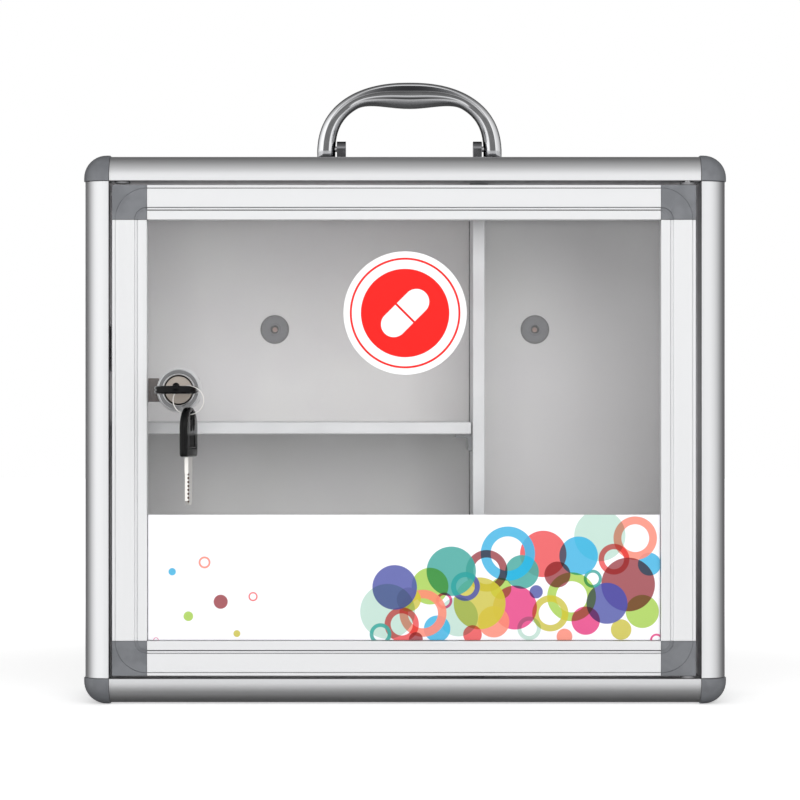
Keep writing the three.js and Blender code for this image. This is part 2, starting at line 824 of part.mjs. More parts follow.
function door() {
  const leaf = at(new THREE.Group(), doorCentreX, doorFrontY, doorCentreZ);
  const bars = [
    ["door_bottom_rail", glassHalfX, doorHeight / 2, 0],
    ["door_lock_stile", glassHalfZ, doorWidth / 2, 1],
    ["door_top_rail", glassHalfX, doorHeight / 2, 2],
    ["door_hinge_stile", glassHalfZ, doorWidth / 2, 3],
  ];
  for (const [name, halfLength, reach, turns] of bars) {
    leaf.add(turnedAboutY(piece(name, doorBar(halfLength, reach), "doorAluminium"), turns));
  }
  const corners = [
    ["door_corner_bottom_left", -1, -1, 0, ""],
    ["door_corner_top_left", -1, 1, 1, ""],
    ["door_corner_top_right", 1, 1, 2, "z"],
    ["door_corner_bottom_right", 1, -1, 3, "x"],
  ];
  for (const [name, sideX, sideZ, turns, boreAxis] of corners) {
    const corner = turnedAboutY(piece(name, doorCorner(boreAxis), "greyPlastic"), turns);
    leaf.add(at(corner, sideX * glassHalfX, 0, sideZ * glassHalfZ));
  }
  leaf.add(piece("door_glass", pane(), "glass"));
  leaf.add(piece("glazing_gasket", gasket(), "blackRubber"));
  const filmBack = paneFront - filmGap;
  const label = block(
    [-glassHalfX + runningGap, filmBack - filmThickness, -glassHalfZ + runningGap],
    [glassHalfX - runningGap, filmBack, -glassHalfZ + labelHeight],
  );
  leaf.add(piece("printed_label", label, "film"));
  const sticker = rodAlongY(
    stickerRadius,
    filmBack - filmThickness,
    filmBack,
    stickerX - doorCentreX,
    stickerZ - doorCentreZ,
    stickerSides,
  );
  leaf.add(piece("round_sticker", sticker, "film"));
  return leaf;
}

// Cam lock, drawn about its axis with y = 0 at the pane's front face
function lockBody() {
  const bore = plugRadius + seam;
  const front = -bezelHeight;
  const cornerCut = bezelRound * (1 - Math.SQRT1_2);
  const profile = [
    [bore, front + plugInset],
    [bore + plugInset, front],
    [bezelRadius - bezelRound, front],
    [bezelRadius - cornerCut, front + cornerCut],
    [bezelRadius, front + bezelRound],
    [bezelRadius, -seam],
    [barrelRadius, -seam],
    [barrelRadius, barrelLength],
    [bore, barrelLength],
  ];
  return turned([...profile, profile[0]], lockSides);
}

function lockNut() {
  const cornerRadius = nutAcrossFlats / 2 / Math.cos(Math.PI / 6);
  const hexagon = rodAlongY(cornerRadius, 0, nutThickness, 0, 0, 6);
  return cut(hexagon, [rodAlongY(barrelRadius + seam, -overrun, nutThickness + overrun)]);
}

function lockWasher() {
  return cut(
    rodAlongY(lockWasherRadius, 0, lockWasherThickness),
    [rodAlongY(barrelRadius + seam, -overrun, lockWasherThickness + overrun)],
  );
}

// Round bar with two flats, which carries the cam
function flattedRod(radius, flat, start, end) {
  const flats = block([-flat, start - overrun, -radius - overrun], [flat, end + overrun, radius + overrun]);
  return common(rodAlongY(radius, start, end), flats);
}

function lockPlug() {
  const tailEnd = plugLength + tailLength;
  const body = join([
    rodAlongY(plugRadius, 0, plugLength),
    flattedRod(tailRadius, tailFlat, plugLength - overrun, tailEnd),
  ]);
  const keyway = block(
    [-keywayWidth / 2, -overrun, -keywayHeight / 2],
    [keywayWidth / 2, keywayDepth, keywayHeight / 2],
  );
  const thread = rodAlongY(
    camScrew.radius + seam, tailEnd - camScrew.length, tailEnd + overrun, 0, 0, holeSides,
  );
  return cut(body, [keyway, thread]);
}

// Cam: an arm to the left, whose end is a hook that a quarter turn brings in behind the keeper
function lockCam() {
  const shape = new THREE.Shape();
  const half = camWidth / 2;
  const shoulder = Math.asin(half / camHeadRadius);
  const hookInnerX = -camReach + camHookWidth;
  shape.moveTo(-camReach + camTipChamfer, half);
  shape.lineTo(-camReach, half - camTipChamfer);
  shape.lineTo(-camReach, -camReach + camTipChamfer);
  shape.lineTo(-camReach + camTipChamfer, -camReach);
  shape.lineTo(hookInnerX, -camReach);
  shape.lineTo(hookInnerX, -half);
  shape.absarc(0, 0, camHeadRadius, Math.PI + shoulder, 3 * Math.PI - shoulder, false);
  const hole = flattedRod(tailRadius + seam, tailFlat + seam, -overrun, camThickness + overrun);
  return cut(prismAlongY(shape, 0, camThickness, fineArcSteps), [hole]);
}

// Key, drawn about the hole in its bow: tip towards -Z, thickness along Y
function keyBow() {
  const half = bowWidth / 2 - bowEdge;
  const headZ = bowHoleInset - bowWidth / 2;
  const footZ = bowHoleInset - bowLength + bowEdge;
  const shape = new THREE.Shape();
  shape.absarc(0, headZ, half, 0, Math.PI, false);
  shape.absarc(-half + bowFootRadius, footZ + bowFootRadius, bowFootRadius, Math.PI, 1.5 * Math.PI, false);
  shape.absarc(half - bowFootRadius, footZ + bowFootRadius, bowFootRadius, 1.5 * Math.PI, 2 * Math.PI, false);
  const flat = bowThickness - 2 * bowEdge;
  const body = new THREE.ExtrudeGeometry(shape, {
    depth: flat,
    bevelThickness: bowEdge,
    bevelSize: bowEdge,
    bevelSegments: bowBevelSteps,
    curveSegments: fineArcSteps,
  });
  body.rotateX(Math.PI / 2).translate(0, flat / 2, 0);
  const hole = rodAlongY(bowHoleRadius, -bowThickness, bowThickness, 0, 0, pinSides);
  const foot = bowHoleInset - bowLength;
  const pocket = block(
    [-tangWidth / 2 - seam, -bladeThickness / 2 - seam, foot - overrun],
    [tangWidth / 2 + seam, bladeThickness / 2 + seam, foot + tangLength + seam],
  );
  return cut(body, [hole, pocket]);
}

function keyBlade() {
  const top = bowHoleInset - bowLength;
  const collarEnd = top - collarLength;
  const tip = collarEnd - bladeLength;
  const half = bladeWidth / 2;
  const shape = polygon([
    [-half + bladeTipChamfer, tip],
    [half - bladeTipChamfer, tip],
    [half, tip + bladeTipChamfer],
    [half, collarEnd],
    [collarWidth / 2, collarEnd],
    [collarWidth / 2, top - seam],
    [tangWidth / 2, top - seam],
    [tangWidth / 2, top + tangLength],
    [-tangWidth / 2, top + tangLength],
    [-tangWidth / 2, top - seam],
    [-collarWidth / 2, top - seam],
    [-collarWidth / 2, collarEnd],
    [-half, collarEnd],
    [-half, tip + bladeTipChamfer],
  ]);
  return prismAlongY(shape, -bladeThickness / 2, bladeThickness / 2);
}

function key(bowName, bladeName) {
  const set = new THREE.Group();
  set.add(piece(bowName, keyBow(), "blackPlastic"));
  set.add(piece(bladeName, keyBlade(), "steel"));
  return set;
}

function lock() {
  const set = at(new THREE.Group(), lockX, 0, lockZ);
  const paneBackY = paneFrontY + paneThickness;
  const nutY = paneBackY + lockWasherThickness + 2 * seam;
  set.add(at(piece("lock_body", lockBody(), "chrome"), 0, paneFrontY, 0));
  set.add(at(piece("lock_washer", lockWasher(), "blackRubber"), 0, paneBackY + seam, 0));
  set.add(at(piece("lock_nut", lockNut(), "steel"), 0, nutY, 0));
  set.add(at(piece("lock_plug", lockPlug(), "steel"), 0, plugFrontY, 0));
  set.add(at(piece("lock_cam", lockCam(), "bronzedSteel"), 0, camFrontY, 0));
  const screw = screwGeometry(camScrew).rotateZ(Math.PI);
  set.add(at(piece("cam_screw", screw, "steel"), 0, plugBackY + tailLength + seam, 0));

  const keyInLock = at(key("key_bow", "key_blade"), 0, keyHoleY, 0);
  keyInLock.rotation.x = Math.PI / 2;
  set.add(keyInLock);
  const ringX = ringRadius * Math.cos(ringLean) - ringSlack;
  const ringZ = -ringRadius * Math.sin(ringLean);
  const ring = new THREE.TorusGeometry(ringRadius, ringWireRadius, ringWireSides, lockSides);
  ring.rotateX(Math.PI / 2);
  set.add(at(piece("key_ring", ring, "chrome"), ringX, keyHoleY, ringZ));
  const hang = bowHoleRadius - ringWireRadius - 2 * runningGap;
  const spareKey = at(key("spare_key_bow", "spare_key_blade"), ringX, keyHoleY, ringZ - ringRadius - hang);
  spareKey.rotation.z = spareKeyTurn;
  set.add(spareKey);
  return set;
}

// Handle: a cast bow whose rings of points run from the left foot over the grip to the right foot
function archPoint(angle, halfWidth, rise, roundness) {
  const power = 2 / roundness;
  const across = Math.cos(angle);
  return [
    Math.sign(across) * halfWidth * Math.abs(across) ** power,
    rise * Math.abs(Math.sin(angle)) ** power,
  ];
}

function gripSagAt(x) {
  const share = Math.min(Math.abs(x) / gripSagHalfWidth, 1);
  return gripSag * (1 - share ** 2) ** gripSagPower;
}

// Sections of the handle, each with its outer and inner point and its depth, heights above the pivot
function handleStations() {
  const stations = [];
  const footSteps = 4;
  const archSteps = 28;
  for (let step = footSteps; step >= 1; step -= 1) {
    const angle = (step / (footSteps + 1)) * (Math.PI / 2);
    const z = -legEndRadius * Math.sin(angle);
    const depth = 2 * legEndRadius * Math.cos(angle);
    stations.push({ outer: [-archHalfWidth, z], inner: [-innerHalfWidth, z], depth });
  }
  for (let step = 0; step <= archSteps; step += 1) {
    const angle = Math.PI * (1 - step / archSteps);
    const outer = archPoint(angle, archHalfWidth, archRise, archRoundness);
    const inner = archPoint(angle, innerHalfWidth, innerRise, innerRoundness);
    const base = archBase - handlePivotHeight;
    const grip = Math.sin(angle) ** gripWidening;
    stations.push({
      outer: [outer[0], Math.max(outer[1] + base, 0)],
      inner: [inner[0], Math.max(inner[1] - gripSagAt(inner[0]) + base, 0)],
      depth: legDepth + (gripDepth - legDepth) * grip,
    });
  }
  const mirrored = stations.slice(0, footSteps).reverse().map(({ outer, inner, depth }) => ({
    outer: [-outer[0], outer[1]], inner: [-inner[0], inner[1]], depth,
  }));
  return [...stations, ...mirrored];
}

// Closed body through rings of equal counts of points, with a fan at either end
function loft(rings) {
  const count = rings[0].length;
  const positions = rings.flat(2);
  const indices = [];
  for (let ring = 0; ring + 1 < rings.length; ring += 1) {
    for (let index = 0; index < count; index += 1) {
      const next = (index + 1) % count;
      const a = ring * count + index;
      const b = ring * count + next;
      indices.push(a, b, b + count, a, b + count, a + count);
    }
  }
  const last = (rings.length - 1) * count;
  for (let index = 1; index + 1 < count; index += 1) {
    indices.push(0, index + 1, index);
    indices.push(last, last + index, last + index + 1);
  }
  const geometry = new THREE.BufferGeometry();
  geometry.setAttribute("position", new THREE.Float32BufferAttribute(positions, 3));
  geometry.setIndex(indices);
  geometry.computeVertexNormals();
  return geometry;
}

function handleBow() {
  const ringSides = 14;
  const squareness = 0.8;
  const rings = handleStations().map(({ outer, inner, depth }) => {
    const ring = [];
    for (let side = 0; side < ringSides; side += 1) {
      const angle = (-side / ringSides) * 2 * Math.PI;
      const across = Math.sign(Math.cos(angle)) * Math.abs(Math.cos(angle)) ** squareness;
      const back = Math.sign(Math.sin(angle)) * Math.abs(Math.sin(angle)) ** squareness;
      const x = (outer[0] + inner[0]) / 2 + (across * (outer[0] - inner[0])) / 2;
      const z = (outer[1] + inner[1]) / 2 + (across * (outer[1] - inner[1])) / 2;
      ring.push([x, (back * depth) / 2, z]);
    }
    return ring;
  });
  const reach = archHalfWidth + overrun;
  return cut(loft(rings), [rodAlongX(handlePinRadius + runningGap / 2, -reach, reach, 0, 0, pinSides)]);
}

// Bracket: a plate on the case top, with a blind hole for a screw from inside the case, and a knuckle
// beside the leg; side is -1 on the left
function handleBracket(side) {
  const plateZ = -handlePivotHeight + seam;
  const plate = block(
    [bracketInnerX, -bracketHalfDepth, plateZ],
    [archHalfWidth, bracketHalfDepth, plateZ + bracketPlate],
  );
  const knuckle = join([
    rodAlongX(knuckleRadius, knuckleInnerX, knuckleOuterX, 0, 0, knuckleSides),
    block([knuckleInnerX, -knuckleRadius, plateZ + bracketPlate / 2], [knuckleOuterX, knuckleRadius, 0]),
  ]);
  const holeTop = -handlePivotHeight + bracketPlate - bracketScrewCover + seam;
  const holes = [
    rodAlongX(handlePinRadius + seam, knuckleInnerX - overrun, knuckleOuterX + overrun, 0, 0, pinSides),
    rodAlongZ(bracketScrew.radius + seam, plateZ - overrun, holeTop, bracketScrewX, 0, holeSides),
  ];
  const bracket = cut(join([plate, knuckle]), holes);
  return side < 0 ? bracket.rotateZ(Math.PI) : bracket;
}

// Plain pin pressed into the knuckle, flush with its inner face and sunk in the leg's outer face
function handlePin(side) {
  const pin = rodAlongX(handlePinRadius, knuckleInnerX, archHalfWidth - handlePinSunk, 0, 0, pinSides);
  return side < 0 ? pin.rotateZ(Math.PI) : pin;
}

function carryHandle() {
  const set = at(new THREE.Group(), handleX, 0, caseHeight + handlePivotHeight);
  set.add(piece("handle", handleBow(), "chrome"));
  for (const [side, word] of [[-1, "left"], [1, "right"]]) {
    set.add(piece(`handle_bracket_${word}`, handleBracket(side), "chrome"));
    set.add(piece(`handle_pivot_pin_${word}`, handlePin(side), "steel"));
    const screw = piece(`bracket_screw_${word}`, screwGeometry(bracketScrew).rotateX(Math.PI / 2), "steel");
    set.add(at(screw, side * bracketScrewX, 0, -handlePivotHeight - wallThickness - seam));
  }
  return set;
}

const group = new THREE.Group();
group.add(caseShell(), backAssembly(), fittings(), keeperAssembly(), hinge(), door(), lock(), carryHandle());

export default group;
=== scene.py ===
import json
import math

import bmesh
import bpy
from mathutils import Matrix, Vector

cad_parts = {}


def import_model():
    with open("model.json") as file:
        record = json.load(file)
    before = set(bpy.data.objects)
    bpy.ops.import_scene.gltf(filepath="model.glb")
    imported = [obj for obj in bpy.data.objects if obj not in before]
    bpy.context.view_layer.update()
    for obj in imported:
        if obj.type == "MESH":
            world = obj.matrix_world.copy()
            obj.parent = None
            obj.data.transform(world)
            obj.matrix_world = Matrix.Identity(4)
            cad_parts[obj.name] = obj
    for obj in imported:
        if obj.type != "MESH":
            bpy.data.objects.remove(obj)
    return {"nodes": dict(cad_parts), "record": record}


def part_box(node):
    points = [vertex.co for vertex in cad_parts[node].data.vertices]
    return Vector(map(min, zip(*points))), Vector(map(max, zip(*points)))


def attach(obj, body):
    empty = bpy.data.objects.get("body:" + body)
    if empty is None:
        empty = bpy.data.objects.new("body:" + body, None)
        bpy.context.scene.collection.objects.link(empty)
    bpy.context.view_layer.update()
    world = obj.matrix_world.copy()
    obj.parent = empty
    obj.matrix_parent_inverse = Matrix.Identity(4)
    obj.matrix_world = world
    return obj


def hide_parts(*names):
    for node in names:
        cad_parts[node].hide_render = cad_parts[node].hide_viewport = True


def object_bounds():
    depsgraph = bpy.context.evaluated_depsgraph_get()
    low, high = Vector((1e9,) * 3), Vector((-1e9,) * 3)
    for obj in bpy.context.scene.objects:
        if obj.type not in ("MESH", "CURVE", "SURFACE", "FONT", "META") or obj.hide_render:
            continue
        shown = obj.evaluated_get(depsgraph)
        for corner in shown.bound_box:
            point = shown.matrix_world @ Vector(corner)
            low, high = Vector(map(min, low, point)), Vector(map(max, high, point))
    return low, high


# Looks of a medicine cabinet with a glazed door. The scene is in metres, and the lengths are in millimetres.
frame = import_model()
cad_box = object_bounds()

MM = 0.001
PER_METRE = 1000.0
FULL_TURN = 2 * math.pi
QUARTER_TURN = math.pi / 2

# Mesh cleaning
WELD = 0.002 * MM
FLAT_ANGLE = math.radians(0.5)
SHARP_ANGLE = math.radians(35)

# How far a cutter stands out of what it cuts
OVERRUN = 1.0

# Steps round a circle
RING_STEPS = 96
SCREW_STEPS = 40

# Body and finish slot of each node, from the record
body_of_node = {
    node: body for body, nodes in frame["record"]["behaviour"]["bodies"].items() for node in nodes
}
slot_of_node = {row["node"]: row["material_slot"] for row in frame["record"]["subparts"]}


def node_box(node):
    """Lowest and highest corner of a node in millimetres."""
    low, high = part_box(node)
    return low * PER_METRE, high * PER_METRE


def node_centre(node):
    """Middle of a node's box in millimetres."""
    low, high = node_box(node)
    return (low + high) / 2


def node_size(node):
    """Lengths of a node's box in millimetres."""
    low, high = node_box(node)
    return high - low


# Shader sockets with arithmetic
class Field:
    """One number, colour or vector of a node tree, with arithmetic."""

    def __init__(self, nodes, socket):
        self.nodes = nodes
        self.socket = socket

    def math(self, operation, *operands):
        return self.nodes.add("ShaderNodeMath", {"operation": operation}, dict(enumerate(operands)))

    def __add__(self, other):
        return self.math("ADD", self, other)

    def __sub__(self, other):
        return self.math("SUBTRACT", self, other)

    def __rsub__(self, other):
        return self.math("SUBTRACT", other, self)

    def __mul__(self, other):
        return self.math("MULTIPLY", self, other)

    def __pow__(self, other):
        return self.math("POWER", self, other)

    def above(self, other):
        return self.math("MAXIMUM", self, other)

    def size(self):
        return self.math("ABSOLUTE", self)

    def root(self):
        return self.math("SQRT", self)

    def ramp(self, start, end, low=0.0, high=1.0):
        """Turns smoothly from low at start to high at end."""
        return self.nodes.add(
            "ShaderNodeMapRange",
            {"interpolation_type": "SMOOTHSTEP"},
            {"Value": self, "From Min": start, "From Max": end, "To Min": low, "To Max": high},
        )

    def spread(self, low=0.0, high=1.0):
        """Noise around 0.5, drawn out between low and high."""
        noise_low, noise_high = 0.3, 0.7
        return self.ramp(noise_low, noise_high, low, high)


class Nodes:
    """A node tree that is filled by calls."""

    def __init__(self, tree):
        self.tree = tree

    def put(self, socket, value):
        if isinstance(value, Field):
            self.tree.links.new(value.socket, socket)
        else:
            socket.default_value = value

    def add(self, kind, settings=None, inputs=None, output=0):
        made = self.tree.nodes.new(kind)
        for key, value in (settings or {}).items():
            setattr(made, key, value)
        for key, value in (inputs or {}).items():
            self.put(made.inputs[key], value)
        return Field(self, made.outputs[output])

    def mix(self, factor, first, second, blend="MIX"):
        """Colour between first and second."""
        factor_socket, first_socket, second_socket, result = 0, 6, 7, 2
        settings = {"data_type": "RGBA", "blend_type": blend}
        inputs = {factor_socket: factor, first_socket: first, second_socket: second}
        return self.add("ShaderNodeMix", settings, inputs, result)

    def ray(self, kind):
        """1 for rays of that kind, such as camera, glossy or transmission rays, and 0 for others."""
        return self.add("ShaderNodeLightPath", output=f"Is {kind} Ray")

    def place(self):
        """Object coordinates in millimetres, as a vector."""
        metres = self.add("ShaderNodeTexCoord", output="Object")
        scale = {"operation": "SCALE"}
        return self.add("ShaderNodeVectorMath", scale, {0: metres, "Scale": PER_METRE})

    def axes(self):
        """Object coordinates in millimetres, as three numbers."""
        split = self.add("ShaderNodeSeparateXYZ", inputs={0: self.place()}).socket.node
        return [Field(self, socket) for socket in split.outputs]

    def stretched(self, lengths):
        """Coordinates in grains, where a grain has these lengths in millimetres."""
        divide = {"operation": "DIVIDE"}
        return self.add("ShaderNodeVectorMath", divide, {0: self.place(), 1: lengths})

    def grain(self, length, detail=2.0):
        """Noise around 0.5 whose grains have that length, or three lengths, in millimetres."""
        lengths = (length,) * 3 if isinstance(length, (int, float)) else length
        inputs = {"Vector": self.stretched(lengths), "Scale": 1.0, "Detail": detail}
        return self.add("ShaderNodeTexNoise", inputs=inputs)


def colour(red, green, blue):
    """Linear colour from screen values of 0 to 255."""
    white = 255
    screen = [value / white for value in (red, green, blue)]
    knee, low_slope, offset, power = 0.04045, 12.92, 0.055, 2.4
    linear = [v / low_slope if v <= knee else ((v + offset) / (1 + offset)) ** power for v in screen]
    return (*linear, 1.0)


class Surface(Nodes):
    """A material with one Principled shader."""

    def __init__(self, name, base, roughness, metallic=0.0):
        self.material = bpy.data.materials.new(name)
        self.material.use_nodes = True
        super().__init__(self.material.node_tree)
        self.shader = self.tree.nodes["Principled BSDF"]
        self.set("Base Color", base)
        self.set("Roughness", roughness)
        self.set("Metallic", metallic)

    def set(self, socket, value):
        self.put(self.shader.inputs[socket], value)

    def relief(self, height, depth, strength):
        """Relief of that depth in millimetres where height goes from 0 to 1."""
        inputs = {"Height": height, "Distance": depth * MM, "Strength": strength}
        self.set("Normal", self.add("ShaderNodeBump", inputs=inputs))

    def grained(self, length, depth, strength):
        """Relief of grains with that length and depth in millimetres."""
        self.relief(self.grain(length), depth, strength)

    def clouded(self, length, first, second):
        """Colour that wanders between first and second in clouds of that length in millimetres."""
        self.set("Base Color", self.mix(self.grain(length).spread(), first, second))

    def uneven(self, length, low, high):
        """Roughness between low and high in patches of that length in millimetres."""
        self.set("Roughness", self.grain(length).spread(low, high))


# Materials
def inside_opening(surface):
    """1 where the case's walls face each other, and 0 on their outsides."""
    x, _, z = surface.axes()
    blur = 0.1
    outside = 0.0
    for place, axis in [(x, 0), (z, 2)]:
        middle = (cad_walls[0][axis] + cad_walls[1][axis]) / 2
        half = (cad_walls[1][axis] - cad_walls[0][axis]) / 2 - WALL_THICKNESS
        outside = (place - middle).size().ramp(half + blur, half + 2 * blur).above(outside)
    return 1 - outside


def satin_aluminium(name, base, lengthwise):
    """Anodised extrusion with faint draw lines along one axis: 0 for X, 1 for Y and 2 for Z."""
    line_width, line_length, pore = 0.35, 160.0, 0.22
    line_share, pore_roughness = 0.5, 0.05
    surface = Surface(name, base, 0.45, 0.9)
    grain = [line_width] * 3
    grain[lengthwise] = line_length
    lines = surface.grain(tuple(grain))
    pores = surface.grain(pore)
    surface.set("Roughness", lines.spread(0.39, 0.47) + pores * pore_roughness)
    surface.relief(lines * line_share + pores, depth=0.006, strength=0.5)
    return surface


def case_aluminium(axis):
    """Satin aluminium with painted shade: darker inside the case by the door, and darker where the rounded
    front edge turns away.
    """
    surface = satin_aluminium(f"case_aluminium_{axis}", CASE_TONE, LENGTHWISE[axis])
    facing = surface.add("ShaderNodeLayerWeight", inputs={"Blend": 0.5}, output="Facing")
    behind_front = surface.axes()[1] - cad_walls[0].y
    rounded, straight = 7, 14
    by_door, past_door = 26, 34
    face_on, edge_on = 0.1, 0.62
    # Painted shade: the rounded front edge darkens where it turns away, and the inside darkens behind the
    # door
    edge_shade_mask = facing.ramp(face_on, edge_on) * behind_front.ramp(straight, rounded)
    outer = surface.mix(edge_shade_mask, CASE_TONE, PAINTED_EDGE_SHADE_TONES[axis])
    with_inside_shade = surface.mix(behind_front.ramp(by_door, past_door), SHADED_TONE, CASE_TONE)
    surface.set("Base Color", surface.mix(inside_opening(surface), outer, with_inside_shade))
    return surface.material


def moulded_plastic():
    surface = Surface("moulded_plastic", colour(110, 112, 116), 0.42)
    spark = surface.grain(length=0.3)
    tint = surface.grain(length=9.0).ramp(0.35, 0.65)
    surface.set("Base Color", surface.mix(tint, colour(105, 107, 111), colour(115, 117, 121)))
    surface.set("Roughness", spark.spread(0.36, 0.48))
    surface.relief(spark, depth=0.02, strength=0.4)
    return surface.material


def laminate_board():
    surface = Surface("laminate_board", colour(216, 217, 219), 0.55)
    surface.clouded(length=20.0, first=colour(212, 213, 215), second=colour(220, 221, 223))
    surface.grained(length=0.4, depth=0.015, strength=0.3)
    return surface.material


def coated_sheet():
    """Pale coating with faint flecks, and painted shade that makes it a little darker to the right of the
    shelf.
    """
    surface = Surface("coated_sheet", colour(214, 213, 213), 0.62)
    painted_shade_width = 75
    cloud = surface.grain(length=34.0, detail=3.0).spread()
    fleck = surface.grain(length=1.6, detail=3.0)
    ground = surface.mix(cloud, colour(224, 222, 223), colour(228, 227, 226))
    past_shelf = surface.axes()[0] - node_box("shelf")[1].x
    # Painted shade: darker to the right of the shelf
    ground = surface.mix(past_shelf.ramp(0, painted_shade_width), ground, colour(200, 198, 199))
    fleck_cover = fleck.ramp(0.58, 0.72, 0.0, 0.35)
    surface.set("Base Color", surface.mix(fleck_cover, ground, colour(213, 211, 213)))
    surface.relief(fleck, depth=0.02, strength=0.3)
    return surface.material


def matt(name, base, roughness):
    """Dull finish with a fine grain."""
    surface = Surface(name, base, roughness)
    spread = 0.08
    surface.uneven(length=0.8, low=roughness - spread, high=roughness + spread)
    surface.grained(length=0.25, depth=0.02, strength=0.5)
    return surface.material


def clear_pane():
    surface = Surface("clear_pane", (0.8, 0.81, 0.81, 1.0), 0.03)
    surface.set("Alpha", surface.grain(length=60.0).spread(0.05, 0.08))
    surface.set("IOR", 1.5)
    return surface.material


def white_nylon():
    surface = Surface("white_nylon", colour(205, 203, 197), 0.45)
    surface.grained(length=0.5, depth=0.02, strength=0.3)
    return surface.material


def zinc_steel():
    surface = Surface("zinc_steel", (0.6, 0.6, 0.61, 1.0), 0.32, 1.0)
    surface.uneven(length=1.6, low=0.24, high=0.4)
    surface.grained(length=0.3, depth=0.01, strength=0.5)
    return surface.material


def bronzed_steel():
    surface = Surface("bronzed_steel", colour(72, 49, 43), 0.5, 0.45)
    surface.clouded(length=5.0, first=colour(65, 43, 37), second=colour(79, 56, 50))
    surface.grained(length=0.4, depth=0.02, strength=0.4)
    return surface.material


def bright_metal(name, base, roughness, metallic, patch, spread):
    """Plated metal whose roughness wanders about its middle by the spread, in patches of that length."""
    surface = Surface(name, base, roughness, metallic)
    surface.uneven(patch, roughness - spread, roughness + spread)
    return surface.material


def handle_chrome_painted_shade():
    """Chrome with painted shade in the recesses and under the rims of the casting, as given on each corner.
    """
    surface = Surface("handle_chrome_painted_shade", HANDLE_TONE, 0.1, 1.0)
    painted_shade = surface.add("ShaderNodeAttribute", {"attribute_name": "painted_shade"}, output="Fac")
    surface.set("Base Color", surface.mix(painted_shade, HANDLE_TONE, HANDLE_SHADE_TONE))
    surface.uneven(length=4.0, low=0.08, high=0.15)
    return surface.material


def key_plastic():
    surface = Surface("key_plastic", colour(6, 6, 7), 0.25)
    surface.uneven(length=1.2, low=0.07, high=0.13)
    surface.set("Specular IOR Level", 0.2)
    surface.grained(length=0.3, depth=0.002, strength=0.3)
    return surface.material


def plug_nickel():
    """Nickel face of the plug, a warm satin metal."""
    surface = Surface("plug_nickel", colour(196, 186, 176), 0.4, 0.75)
    surface.uneven(length=2.0, low=0.32, high=0.48)
    surface.grained(length=0.5, depth=0.02, strength=0.4)
    return surface.material


# Printed film: translucent round spots in two fans, drawn by a rule
PRINT_INKS = [
    colour(226, 0, 122),
    colour(0, 174, 219),
    colour(166, 206, 57),
    colour(242, 134, 110),
    colour(150, 15, 32),
    colour(200, 190, 40),
    colour(232, 60, 60),
    colour(58, 70, 160),
    colour(190, 222, 204),
    colour(20, 160, 150),
]
GOLDEN_SHARE = 0.618034

# Blur of a spot's edge, how much it covers, and the hole that makes a ring of every third spot
SPOT_BLUR = 0.25
SPOT_COVER = 0.9
SPOT_HOLE_SHARE = 0.62
SPOT_HOLE_EVERY = 3

# How much lower a fan is at its far end, as a share of the label's height
FAN_SLOPE_SHARE = 0.55


def printed_film():
    """White film with a dense fan of spots from the right and a sparse one from the left."""
    white = colour(251, 250, 255)
    surface = Surface("printed_film", white, 0.35)
    x, _, z = surface.axes()
    low, high = node_box("printed_label")
    paint = white
    # Start, direction, reach, number of spots, and smallest and largest radius of each fan
    fans = [(high.x, -1, 150.0, 40, 3.5, 15.0), (low.x, 1, 60.0, 7, 1.5, 4.0)]
    for start, inward, reach, spots, smallest, largest in fans:
        for index in range(spots):
            share = (index + 0.5) / spots
            across = start + inward * reach * share
            room = (high.z - low.z) * (1 - share * FAN_SLOPE_SHARE)
            up = low.z + room * ((index * GOLDEN_SHARE) % 1)
            radius = smallest + (largest - smallest) * ((index * GOLDEN_SHARE * 2) % 1)
            distance = ((x - across) ** 2 + (z - up) ** 2).root()
            cover = distance.ramp(radius, radius - SPOT_BLUR, 0.0, SPOT_COVER)
            if index % SPOT_HOLE_EVERY == 0:
                hole = radius * SPOT_HOLE_SHARE
                cover = cover * distance.ramp(hole, hole + SPOT_BLUR)
            ink = PRINT_INKS[index % len(PRINT_INKS)]
            paint = surface.mix(cover, paint, ink, "MIX" if index % 2 else "MULTIPLY")
    surface.set("Base Color", paint)
    return surface.material


def sticker_film():
    """White film with a red disc, a red rim line and a white capsule with a split."""
    white = colour(252, 252, 253)
    red = colour(243, 24, 18)
    surface = Surface("sticker_film", white, 0.35)
    surface.set("Specular IOR Level", 0.3)
    x, _, z = surface.axes()
    centre = node_centre("round_sticker")
    outer = node_size("round_sticker").x / 2
    disc_share, line_outer_share, line_inner_share = 0.72, 0.9, 0.86
    capsule_half_share, capsule_radius_share = 0.26, 0.21
    blur = 0.2
    split_half = 0.7
    lean = math.radians(45)
    across, up = x - centre.x, z - centre.z
    distance = (across ** 2 + up ** 2).root()
    disc = distance.ramp(outer * disc_share, outer * disc_share - blur)
    line = distance.ramp(outer * line_outer_share, outer * line_outer_share - blur)
    line = line * distance.ramp(outer * line_inner_share, outer * line_inner_share + blur)
    along = across * math.cos(lean) + up * math.sin(lean)
    aside = up * math.cos(lean) - across * math.sin(lean)
    beyond = (along.size() - outer * capsule_half_share).above(0.0)
    from_capsule = (beyond ** 2 + aside ** 2).root()
    capsule = from_capsule.ramp(outer * capsule_radius_share, outer * capsule_radius_share - blur)
    split = along.size().ramp(split_half, split_half - blur) * disc
    paint = white
    for cover, ink in [(disc, red), (line, red), (capsule, white), (split, red)]:
        paint = surface.mix(cover, paint, ink)
    surface.set("Base Color", paint)
    return surface.material
